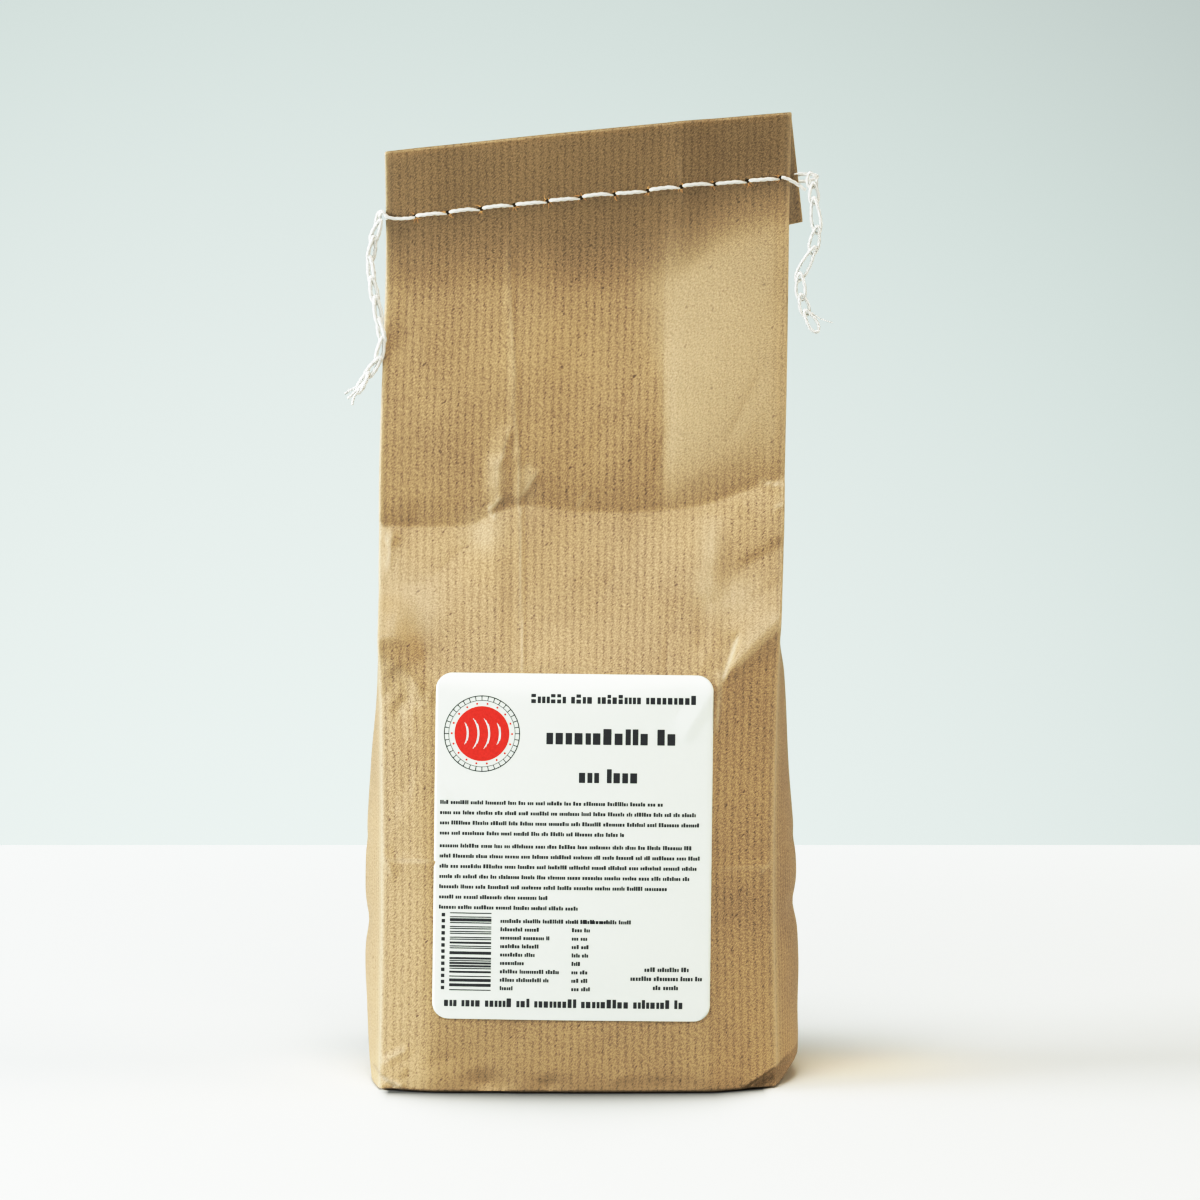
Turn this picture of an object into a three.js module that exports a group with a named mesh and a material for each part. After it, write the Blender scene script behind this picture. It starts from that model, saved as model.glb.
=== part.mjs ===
// A shop bag of bread mix, about one kilogram, standing upright on its block bottom.
// The bag is ribbed kraft paper with a front panel, a back panel and two side gussets. Its full body
// narrows over a sloping shoulder to a flat neck. The mouth is turned over to the back as a flap and
// sewn across with one white cotton thread, whose chains of loops hang down at both ends of the seam.
// Millimetres, +Z up. The origin is the centre of the base, and the front of the bag faces -Y.

import * as THREE from 'three';

// Bag, laid flat
const PANEL_WIDTH = 120;
const GUSSET_WIDTH = 76;
const MOUTH_HEIGHT = 316.3; // the cut edge, before the top was turned over

// Heights above the floor, at the middle of the front panel
const SHOULDER = 120;
const VALLEY = 168;
const FOLD = 280;
const SEAM_BELOW_FOLD = 18;
const FOLD_SLOPE = 0.1; // the top fold and the valley crease climb to the right
const LEAN_RIGHT = 2; // sideways lean of the top fold

// Front and back of the body, as [height, distance from the middle]
const FRONT_BODY = [[0, 38.6], [4, 40.4], [14, 41.6], [60, 42.2], [100, 42], [SHOULDER, 41.2], [VALLEY, 36]];
const BACK_BODY = [[0, 37.6], [4, 39.4], [15, 42], [45, 44.4], [80, 44.8], [112, 43.2], [135, 40]];

// How far the upright creases draw in from half a panel's width, and how far the gussets swell past
// them, as [height, distance]
const LEFT_INSET = [[0, 2.4], [6, 1.6], [60, 2], [117, 1.4], [VALLEY, -0.2], [FOLD, 0]];
const RIGHT_INSET = [[0, 4.2], [6, 3.2], [60, 4], [117, 2.6], [VALLEY, -0.2], [FOLD, 0]];
const LEFT_SWELL = [[0, 3], [5, 4.8], [20, 6], [60, 7.1], [94, 5.1], [115, 2.7], [140, 0.8], [160, 0]];
const RIGHT_SWELL = [[0, 3], [5, 6.8], [20, 8.3], [60, 8.7], [94, 5.6], [115, 3.9], [140, 1], [160, 0]];

// Flat facets beside the label, where the front turns towards the gussets
const LEFT_FACET_FROM = -44;
const LEFT_FACET_SLOPE = 0.3;
const RIGHT_FACET_FROM = 37;
const RIGHT_FACET_SLOPE = 0.45;
const BACK_FACET_FROM = 40;
const BACK_FACET_SLOPE = 0.36;

// Neck: the front falls back over the shoulder to the valley crease, rises a little above it, and
// leans forward from the lower edge of the flap, where the top is doubled
const SHOULDER_SLOPE = 0.55;
const VALLEY_FRONT = 15;
const NECK_SWELL = 1.5;
const NECK_SWELL_OVER = 17;
const TOP_LEAN = 0.2;
const TOP_BEND = 4;
const BACK_SHOULDER = 135;
const BACK_BELLY = 3;
const CREASE_ROUND = 1; // radius-like softness of the body's folds
const RIDGE_AT = -19; // soft upright ridge down the left of the neck
const RIDGE_HEIGHT = 1.4;
const RIDGE_WIDTH = 13;
const PLY = 1.2; // the pressed neck, where four sheets lie on each other
const PLY_OPENS = 6; // how soon the pressed neck closes above the lower edge of the flap
const FOLD_CLOSES = 8; // the gussets are pressed shut this far below that edge

// Flap at the back
const FLAP_GAP = 0.4;
const FLAP_DRIFT = 0.135; // sideways shift for each millimetre down the flap
const FLAP_FLARE = 0.05;
const FLAP_FLARE_POWER = 1.3;
const EDGE_ROUND = 0.4; // the side edges of the pressed neck and the flap bow out by this much

// Label on the front of the body
const LABEL_WIDTH = 79.6;
const LABEL_HEIGHT = 99.6;
const LABEL_CORNER = 4.6;
const LABEL_CENTRE_X = -2.4;
const LABEL_CENTRE_Z = 71.4;
const LABEL_TURN = -0.012;
const LABEL_THICKNESS = 0.3;

// Thread
const THREAD = 1.2;
const TAIL = 3;
const CLEARANCE = 0.3;

// Mesh
const PANEL_STEPS = 15;
const GUSSET_STEPS = 6;
const RING_SPACING = 7;
const FOOT_RINGS = [2, 4.5];
const FOLD_RINGS = 5;
const FLAP_RINGS = 6;
const LABEL_STEPS = 10;
const THREAD_SIDES = 6;
const THREAD_STEPS = 116;
const TAIL_SIDES = 8;
const TAIL_STEPS = 9;

const { clamp, degToRad, lerp, smoothstep } = THREE.MathUtils;
const softMin = (a, b, radius) => {
  const t = clamp(0.5 + (0.5 * (b - a)) / radius, 0, 1);
  return lerp(b, a, t) - radius * t * (1 - t);
};
const softMax = (a, b, radius) => -softMin(-a, -b, radius);

// Smooth curve through the stations [height, value], with the slope of each station's neighbours
function along(stations, height) {
  const last = stations.length - 1;
  const at = clamp(height, stations[0][0], stations[last][0]);
  const slope = (k) => {
    const [h0, v0] = stations[Math.max(0, k - 1)];
    const [h1, v1] = stations[Math.min(last, k + 1)];
    return (v1 - v0) / (h1 - h0);
  };
  let i = 0;
  while (i < last - 1 && at > stations[i + 1][0]) {
    i += 1;
  }
  const [h0, v0] = stations[i];
  const [h1, v1] = stations[i + 1];
  const span = h1 - h0;
  const t = (at - h0) / span;
  const t2 = t * t;
  const t3 = t2 * t;
  return (2 * t3 - 3 * t2 + 1) * v0 + (t3 - 2 * t2 + t) * span * slope(i)
    + (3 * t2 - 2 * t3) * v1 + (t3 - t2) * span * slope(i + 1);
}

// A level is a height at the middle of the bag. From the shoulder up, a level line climbs to the right.
const tilt = (level) => FOLD_SLOPE * smoothstep(level, SHOULDER, VALLEY);
const lean = (level) => LEAN_RIGHT * smoothstep(level, VALLEY, FOLD);
const leftCrease = (level) => along(LEFT_INSET, level) - PANEL_WIDTH / 2 + lean(level);
const rightCrease = (level) => PANEL_WIDTH / 2 - along(RIGHT_INSET, level) + lean(level);
const flapEdge = (x) => 2 * FOLD - MOUTH_HEIGHT + FOLD_SLOPE * x;

function ridge(x, level) {
  const reach = smoothstep(level, SHOULDER, VALLEY - 20) * (1 - smoothstep(level, VALLEY + 40, VALLEY + 75));
  return RIDGE_HEIGHT * reach * Math.exp(-(((x - RIDGE_AT) / RIDGE_WIDTH) ** 2));
}

// How far the front stands forward of the middle of the bag
function front(x, level) {
  if (level <= VALLEY) {
    const body = along(FRONT_BODY, level);
    const left = body - LEFT_FACET_SLOPE * (LEFT_FACET_FROM - x);
    const right = body - RIGHT_FACET_SLOPE * (x - RIGHT_FACET_FROM);
    const slope = VALLEY_FRONT + SHOULDER_SLOPE * (VALLEY - level);
    const planes = [left, right, slope];
    return planes.reduce((a, b) => softMin(a, b, CREASE_ROUND), body) + ridge(x, level);
  }
  const neck = VALLEY_FRONT + NECK_SWELL * smoothstep(level, VALLEY, VALLEY + NECK_SWELL_OVER);
  return neck + TOP_LEAN * softMax(0, level - flapEdge(x), TOP_BEND) + ridge(x, level);
}

// How far the back stands behind the middle of the bag
function back(x, level) {
  const edge = flapEdge(x);
  if (level >= edge) {
    return PLY * (1 + Math.exp((edge - level) / PLY_OPENS)) - front(x, level);
  }
  const slope = BACK_FACET_SLOPE * (1 - smoothstep(level, SHOULDER, VALLEY));
  const body = along(BACK_BODY, level);
  const corner = softMin(body, body - slope * (Math.abs(x) - BACK_FACET_FROM), CREASE_ROUND);
  if (level <= BACK_SHOULDER) {
    return corner;
  }
  const t = (level - BACK_SHOULDER) / (edge - BACK_SHOULDER);
  const end = 2 * PLY - front(x, edge);
  return lerp(corner, end, t) + BACK_BELLY * Math.sin(Math.PI * t);
}

// Depth of the inward fold of a gusset, from its width and the room between front and back
function gussetFold(x, level) {
  const half = (front(x, level) + back(x, level)) / 2;
  const depth = Math.sqrt(Math.max(0, (GUSSET_WIDTH / 2) ** 2 - half * half));
  const edge = flapEdge(x);
  return depth * smoothstep(level, SHOULDER, VALLEY) * (1 - smoothstep(level, edge - FOLD_CLOSES, edge));
}

// One turn round the bag at a level: front panel, right gusset, back panel, left gusset
function bagRing(level) {
  const xl = leftCrease(level);
  const xr = rightCrease(level);
  const ring = [];
  const put = (x, y) => ring.push(new THREE.Vector3(x, y, level + tilt(level) * x));
  const across = (i) => lerp(xl, xr, i / PANEL_STEPS);
  const pressed = smoothstep(level, flapEdge(0) - FOLD_CLOSES, flapEdge(0));
  const side = (x, stations, out, backwards) => {
    const swell = along(stations, level) + EDGE_ROUND * pressed;
    const fold = gussetFold(x, level);
    for (let j = 1; j < GUSSET_STEPS; j += 1) {
      const q = backwards ? 1 - j / GUSSET_STEPS : j / GUSSET_STEPS;
      const reach = 4 * swell * q * (1 - q) - fold * (1 - Math.abs(2 * q - 1));
      put(x + out * reach, lerp(-front(x, level), back(x, level), q));
    }
  };
  for (let i = 0; i <= PANEL_STEPS; i += 1) {
    put(across(i), -front(across(i), level));
  }
  side(xr, RIGHT_SWELL, 1, false);
  for (let i = PANEL_STEPS; i >= 0; i -= 1) {
    put(across(i), back(across(i), level));
  }
  side(xl, LEFT_SWELL, -1, true);
  return ring;
}

// The pressed neck as a strip: its outer and inner faces at each step across, and rounded side edges
function stripRing(outer, inner) {
  const ring = [];
  const edge = (a, b, out) => {
    for (let j = 1; j < GUSSET_STEPS; j += 1) {
      const q = j / GUSSET_STEPS;
      const point = a.clone().lerp(b, q);
      point.x += out * 4 * EDGE_ROUND * q * (1 - q);
      ring.push(point);
    }
  };
  ring.push(...outer);
  edge(outer[PANEL_STEPS], inner[PANEL_STEPS], 1);
  ring.push(...inner.slice().reverse());
  edge(inner[0], outer[0], -1);
  return ring;
}

const neckAcross = (i) => lerp(leftCrease(FOLD), rightCrease(FOLD), i / PANEL_STEPS);
const OUTER_BEND = PLY + FLAP_GAP / 2;
const BEND_LEVEL = FOLD - OUTER_BEND;

// The turn over the top fold, from 0 at the front to a half turn at the back
function foldRing(angle) {
  const outer = [];
  const inner = [];
  for (let i = 0; i <= PANEL_STEPS; i += 1) {
    const x = neckAcross(i);
    const y = OUTER_BEND - front(x, BEND_LEVEL);
    const z = BEND_LEVEL + FOLD_SLOPE * x;
    const at = (r) => new THREE.Vector3(x, y - r * Math.cos(angle), z + r * Math.sin(angle));
    outer.push(at(OUTER_BEND));
    inner.push(at(FLAP_GAP / 2));
  }
  return stripRing(outer, inner);
}

// A point on the flap, a distance down from the fold and a distance off its inner face
function flapPoint(x0, down, off) {
  const x = x0 + FLAP_DRIFT * down;
  const z = BEND_LEVEL + FOLD_SLOPE * x0 - down * Math.sqrt(1 - FLAP_DRIFT ** 2);
  const flare = FLAP_FLARE * Math.max(0, down - SEAM_BELOW_FOLD) ** FLAP_FLARE_POWER;
  return new THREE.Vector3(x, back(x, z - FOLD_SLOPE * x) + FLAP_GAP + flare + off, z);
}

function flapRing(share) {
  const outer = [];
  const inner = [];
  for (let i = 0; i <= PANEL_STEPS; i += 1) {
    const x = neckAcross(i);
    const down = share * (MOUTH_HEIGHT - FOLD - FOLD_SLOPE * x);
    outer.push(flapPoint(x, down, PLY));
    inner.push(flapPoint(x, down, 0));
  }
  return stripRing(outer, inner);
}

// Triangles between rings of equal length, with a fan over the first and a strip cap over the last
function loft(rings, firstCentre) {
  const count = rings[0].length;
  const positions = rings.flat().flatMap((p) => [p.x, p.y, p.z]);
  const index = [];
  for (let r = 0; r + 1 < rings.length; r += 1) {
    for (let i = 0; i < count; i += 1) {
      const a = r * count + i;
      const b = r * count + ((i + 1) % count);
      index.push(a, b, b + count, a, b + count, a + count);
    }
  }
  const centre = positions.length / 3;
  positions.push(firstCentre.x, firstCentre.y, firstCentre.z);
  for (let i = 0; i < count; i += 1) {
    index.push(centre, (i + 1) % count, i);
  }
  const top = (rings.length - 1) * count;
  const opposite = (i) => top + 2 * PANEL_STEPS + GUSSET_STEPS - i;
  for (let i = 0; i < PANEL_STEPS; i += 1) {
    index.push(top + i, top + i + 1, opposite(i + 1), top + i, opposite(i + 1), opposite(i));
  }
  for (const corner of [PANEL_STEPS, 2 * PANEL_STEPS + GUSSET_STEPS]) {
    for (let j = 1; j < GUSSET_STEPS; j += 1) {
      index.push(top + corner, top + corner + j, top + ((corner + j + 1) % count));
    }
  }
  return geometryOf(positions, index);
}

function geometryOf(positions, index) {
  const geometry = new THREE.BufferGeometry();
  geometry.setAttribute('position', new THREE.Float32BufferAttribute(positions, 3));
  geometry.setIndex(index);
  geometry.computeVertexNormals();
  return geometry;
}

function bagGeometry() {
  const rings = [bagRing(0), ...FOOT_RINGS.map(bagRing)];
  for (let level = RING_SPACING; level < BEND_LEVEL - 2; level += RING_SPACING) {
    rings.push(bagRing(level));
  }
  for (let k = 0; k <= FOLD_RINGS; k += 1) {
    rings.push(foldRing((Math.PI * k) / FOLD_RINGS));
  }
  for (let k = 1; k <= FLAP_RINGS; k += 1) {
    rings.push(flapRing(k / FLAP_RINGS));
  }
  return loft(rings, new THREE.Vector3(0, 0, 0));
}

// The label: rows from its foot to its head, narrower in the rounded corners, laid on the front
function labelRows() {
  const straight = LABEL_HEIGHT / 2 - LABEL_CORNER;
  const corner = [0, 30, 60, 90].map((degrees) => degToRad(degrees));
  const head = corner.map((a) => ({
    up: straight + LABEL_CORNER * Math.sin(a),
    half: LABEL_WIDTH / 2 - LABEL_CORNER * (1 - Math.cos(a)),
  }));
  const foot = head.map(({ up, half }) => ({ up: -up, half })).reverse();
  const between = [];
  for (let k = 1; k < LABEL_STEPS; k += 1) {
    between.push({ up: lerp(-straight, straight, k / LABEL_STEPS), half: LABEL_WIDTH / 2 });
  }
  return [...foot, ...between, ...head];
}

function labelGeometry() {
  const rows = labelRows();
  const positions = [];
  const face = (off) => rows.forEach(({ up, half }) => {
    for (let k = 0; k <= LABEL_STEPS; k += 1) {
      const a = lerp(-half, half, k / LABEL_STEPS);
      const x = LABEL_CENTRE_X + a * Math.cos(LABEL_TURN) - up * Math.sin(LABEL_TURN);
      const z = LABEL_CENTRE_Z + a * Math.sin(LABEL_TURN) + up * Math.cos(LABEL_TURN);
      positions.push(x, -front(x, z) - off, z);
    }
  });
  face(CLEARANCE + LABEL_THICKNESS);
  face(CLEARANCE);
  const width = LABEL_STEPS + 1;
  const under = rows.length * width;
  const index = [];
  const quad = (a, b, c, d) => index.push(a, b, c, a, c, d);
  const wall = (a, b) => quad(a, under + a, under + b, b);
  for (let r = 0; r + 1 < rows.length; r += 1) {
    const start = r * width;
    for (let a = start; a < start + LABEL_STEPS; a += 1) {
      quad(a, a + 1, a + 1 + width, a + width);
      quad(under + a, under + a + width, under + a + 1 + width, under + a + 1);
    }
    wall(start + width, start);
    wall(start + LABEL_STEPS, start + LABEL_STEPS + width);
  }
  const head = (rows.length - 1) * width;
  for (let k = 0; k < LABEL_STEPS; k += 1) {
    wall(k, k + 1);
    wall(head + k + 1, head + k);
  }
  return geometryOf(positions, index);
}

// A thread or a chain of loops, as a round tube along its route
function tubeGeometry(points, diameter, sides, steps) {
  const section = new THREE.Shape();
  for (let k = 0; k < sides; k += 1) {
    const a = (2 * Math.PI * k) / sides;
    const place = [(diameter / 2) * Math.cos(a), (diameter / 2) * Math.sin(a)];
    if (k === 0) {
      section.moveTo(...place);
    } else {
      section.lineTo(...place);
    }
  }
  const path = new THREE.CatmullRomCurve3(points, false, 'centripetal');
  path.arcLengthDivisions = 2000;
  return new THREE.ExtrudeGeometry(section, { steps, bevelEnabled: false, extrudePath: path });
}

// The seam: along the front stitches, round the right edge of the flap, back along the chain behind it
// and round its left edge
const SEAM_LEVEL = FOLD - SEAM_BELOW_FOLD;
const SEAM_OFF = CLEARANCE + THREAD / 2;
const SEAM_POINT_SPACING = 10;
function seamPoints() {
  const drift = FLAP_DRIFT * (SEAM_BELOW_FOLD - OUTER_BEND);
  const left = neckAcross(0);
  const right = neckAcross(PANEL_STEPS);
  const ahead = (x) => -front(x, SEAM_LEVEL) - SEAM_OFF;
  const behind = (x) => back(x, SEAM_LEVEL) + FLAP_GAP + PLY + SEAM_OFF;
  const points = [];
  const put = (x, y) => points.push(new THREE.Vector3(x, y, SEAM_LEVEL + FOLD_SLOPE * x));
  for (let x = left; x < right; x += SEAM_POINT_SPACING) {
    put(x, ahead(x));
  }
  put(right + 1.6, ahead(right) + 0.1);
  put(right + drift + 2, behind(right) - 3.1);
  put(right + drift + 2.5, behind(right) - 1.4);
  for (let x = right + drift; x > left + drift; x -= SEAM_POINT_SPACING) {
    put(x, behind(x));
  }
  put(left + drift - 0.6, behind(left));
  put(left - 1.6, behind(left) - 1);
  return points;
}

// Routes of the two hanging chains, as [x, y, z]
const TAIL_LEFT = [
  [-60.3, -16.4, 253.6], [-61.9, -15.6, 251.2], [-63.4, -14.8, 247], [-63.9, -14, 240], [-62.7, -13.4, 234],
  [-61.3, -12.8, 227.6], [-60.1, -12.3, 222.6], [-59.8, -12, 217.6], [-61, -12, 212.9], [-64.4, -12.4, 208.4],
  [-68.5, -13, 202.2],
].map((p) => new THREE.Vector3(...p));
const TAIL_RIGHT = [
  [69, -17.6, 267.8], [69.9, -17.4, 263], [70, -17, 257.6], [70.6, -16.4, 252], [69.8, -15.6, 246.2],
  [66.6, -14.6, 241.4], [64.6, -14, 236.8], [65.1, -13.6, 231.4], [66.9, -13.4, 226], [70.1, -13.6, 221.2],
].map((p) => new THREE.Vector3(...p));

const kraft = new THREE.MeshStandardMaterial({ color: 0xbf9f6c, roughness: 0.6, metalness: 0 });
const white = new THREE.MeshStandardMaterial({ color: 0xeef0ec, roughness: 0.5, metalness: 0 });
const cotton = new THREE.MeshStandardMaterial({ color: 0xf3f1ea, roughness: 0.9, metalness: 0 });

const bag = new THREE.Group();
const add = (name, geometry, material) => {
  const mesh = new THREE.Mesh(geometry, material);
  mesh.name = name;
  bag.add(mesh);
};
add('bag', bagGeometry(), kraft);
add('label', labelGeometry(), white);
add('seam_thread', tubeGeometry(seamPoints(), THREAD, THREAD_SIDES, THREAD_STEPS), cotton);
add('tail_left', tubeGeometry(TAIL_LEFT, TAIL, TAIL_SIDES, TAIL_STEPS), cotton);
add('tail_right', tubeGeometry(TAIL_RIGHT, TAIL, TAIL_SIDES, TAIL_STEPS), cotton);

export default bag;
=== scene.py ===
"""A full shop bag of bread mix: ribbed brown paper, a white label, and a top folded over and sewn shut.

Shapes are worked out in millimetres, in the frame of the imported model: +Z up, the front facing -Y and
the origin in the middle of the base. They are written to the meshes in metres.
"""

import bpy
import numpy as np
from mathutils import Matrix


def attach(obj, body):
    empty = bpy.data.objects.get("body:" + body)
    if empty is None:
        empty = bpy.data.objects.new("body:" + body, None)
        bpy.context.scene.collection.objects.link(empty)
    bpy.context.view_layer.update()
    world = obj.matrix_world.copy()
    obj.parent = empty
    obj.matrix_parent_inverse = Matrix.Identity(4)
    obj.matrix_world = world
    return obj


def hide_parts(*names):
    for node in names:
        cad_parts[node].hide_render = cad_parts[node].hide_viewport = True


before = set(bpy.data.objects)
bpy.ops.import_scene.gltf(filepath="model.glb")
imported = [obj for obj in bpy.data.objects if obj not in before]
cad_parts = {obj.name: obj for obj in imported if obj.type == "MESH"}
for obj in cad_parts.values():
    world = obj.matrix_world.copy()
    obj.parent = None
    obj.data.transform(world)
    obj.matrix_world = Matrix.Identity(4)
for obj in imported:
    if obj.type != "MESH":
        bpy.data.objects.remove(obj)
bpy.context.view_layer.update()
scene = bpy.context.scene
MM = 0.001


# The bag is one tube of kraft paper with a front, a back and two gussets, glued to a block bottom. The
# mix fills the body. Above it the shoulder falls back to the flat neck, whose gussets fold inwards, and
# the mouth is turned over to the back as a flap.
PANEL_WIDTH = 120.0
GUSSET_WIDTH = 76.0
MOUTH_HEIGHT = 316.3
SHOULDER = 120.0
VALLEY = 168.0
FOLD = 280.0
FOLD_SLOPE = 0.1
LEAN_RIGHT = 2.0
FRONT_BODY = [[0, 43.1], [2, 43], [14, 42.3], [60, 41.9], [100, 42], [120, 41.4], [168, 39]]
FRONT_SHOULDER = [[100, 46], [112, 42.6], [118, 40.2], [124, 36.8], [130, 33], [138, 28.2], [150, 22.5],
                  [168, 15]]
BACK_BODY = [[0, 37.6], [4, 39.4], [15, 42], [45, 44.4], [80, 44.8], [112, 43.2], [135, 40]]
LEFT_INSET = [[0, 1.2], [6, 1.4], [60, 2], [117, 1.4], [168, -0.2], [280, 0]]
RIGHT_INSET = [[0, 3.4], [6, 3.1], [60, 4], [117, 2.6], [168, -0.2], [280, 0]]
LEFT_SWELL = [[0, 4], [5, 4.9], [20, 6], [60, 7.1], [94, 5.1], [115, 2.7], [140, 0.8], [160, 0]]
RIGHT_SWELL = [[0, 3.4], [5, 7.3], [10, 8.1], [20, 8.2], [60, 8.7], [94, 5.6], [115, 3.9], [140, 1], [160, 0]]
LEFT_FACET = (-44.0, 0.3)
RIGHT_FACET = (38.2, 0.48)
BACK_FACET = (40.0, 0.36)
RIGHT_FACET_TURN = (0.92, 0.15)  # shares of the right facet's slope: at the foot, and added higher up
BELLY = 2.2  # the front of the body stands this much prouder in the middle than at its upright edges
VALLEY_FRONT = 15.0
# How far the valley crease wanders above a straight line, across the front
VALLEY_WANDER = [[-60, 2.2], [-46, 0.8], [-32, 0], [-26, 2.6], [-18, 4], [-9, 2.4], [2, 0], [24, -1.6],
                 [38, -0.8], [48, 1.7], [60, 4]]
BASE_LIFT = 0.7  # the lower edge of the walls stands this high off the table
BASE_SHARES = [0.1, 0.4, 0.7, 0.9, 0.95, 0.975, 0.993]  # rings of the base, from its middle to the walls
BASE_RISE = [0, 0, 0, 0, 0, 0.15, 0.7]
BASE_RINGS = len(BASE_SHARES)
NECK_SWELL = [[-60, 2.4], [-48, 2.2], [-34, 1.0], [-10, 0.7], [16, 0.8], [30, 1.7], [48, 1.9], [62, 0.9]]
NECK_REACH = [[-60, 6.5], [-44, 7], [0, 9], [28, 9], [62, 8]]
NECK_LEAN = 0.085  # the pressed neck leans back, up to the line where its top leans forward
TOP_BEND = [[-62, 236], [5, 236], [28, 239], [42, 248], [64, 256]]
TOP_LEAN = 0.4
BACK_SHOULDER = 135.0
PLY = 0.9  # the pressed neck: four sheets of paper and the air between them
FLAP_GAP = 0.4
FLAP_DRIFT = 0.135
EDGE_ROLL = 0.7  # radius of the paper's upright folds
RIGHT_TRACE = 24.4  # here the right gusset's inner fold shows through the neck
TUCK_START = 45.6  # the tuck at the foot's right corner begins here and climbs to the right
TUCK_SLOPE = 0.56
TUCK_DEPTH = 3.4
TUCK_TOP = 14  # nothing above this height belongs to it


def step(low, high, at):
    """0 below low, 1 above high, and 3t^2 - 2t^3 between them."""
    t = np.clip((at - low) / (high - low), 0, 1)
    return t * t * (3 - 2 * t)


def soft_min(a, b, radius):
    """The smaller of a and b, rounded where they are closer than radius."""
    t = np.clip(0.5 + 0.5 * (b - a) / radius, 0, 1)
    return b + (a - b) * t - radius * t * (1 - t)


def along(stations, at):
    """Cubic curve through [place, value] rows, whose slope at a row joins the rows beside it."""
    place, value = np.array(stations, float).T
    slope = np.gradient(value, place)
    slope[1:-1] = (value[2:] - value[:-2]) / (place[2:] - place[:-2])
    at = np.clip(at, place[0], place[-1])
    i = np.clip(np.searchsorted(place, at, side="right") - 1, 0, len(place) - 2)
    span = place[i + 1] - place[i]
    t = (at - place[i]) / span
    rise = (2 * t**3 - 3 * t**2 + 1) * value[i] + (3 * t**2 - 2 * t**3) * value[i + 1]
    return rise + span * ((t**3 - 2 * t**2 + t) * slope[i] + (t**3 - t**2) * slope[i + 1])


def crease(x, z, start, end, rise, left, right, fade=0.2):
    """Tent of height rise along the line from start to end. It falls to nothing over the distances left
    and right of the line, seen from start to end, and over the share fade of the line at both ends."""
    dx, dz = end[0] - start[0], end[1] - start[1]
    length = np.hypot(dx, dz)
    share = ((x - start[0]) * dx + (z - start[1]) * dz) / length**2
    off = ((x - start[0]) * dz - (z - start[1]) * dx) / length
    tent = np.clip(1 - np.where(off > 0, off / right, -off / left), 0, 1)
    ends = np.clip(np.minimum(share, 1 - share) / fade, 0, 1)
    return rise * tent * np.sqrt(ends)


def bell(at, middle, reach):
    """1 in the middle, falling off as exp(-t^2), with t the distance from the middle over the reach."""
    return np.exp(-(((at - middle) / reach) ** 2))


def bump(x, z, at, size, rise):
    """Soft round swelling of height rise, with size as its reach each way."""
    return rise * bell(x, at[0], size[0]) * bell(z, at[1], size[1])


def level_z(x, level):
    """Height of a level line: level in the body, climbing to the right from the valley crease up, and
    wandering near that crease."""
    near = step(142, 165, level) * (1 - step(171, 200, level))
    return level + FOLD_SLOPE * step(SHOULDER, VALLEY, level) * x + along(VALLEY_WANDER, x) * near


def left_crease(level):
    return along(LEFT_INSET, level) - PANEL_WIDTH / 2 + LEAN_RIGHT * step(VALLEY, FOLD, level)


def right_crease(level):
    return PANEL_WIDTH / 2 - along(RIGHT_INSET, level) + LEAN_RIGHT * step(VALLEY, FOLD, level)


def flap_edge(x):
    """Level of the lower edge of the flap, behind the front panel."""
    return 2 * FOLD - MOUTH_HEIGHT + FOLD_SLOPE * x


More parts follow.
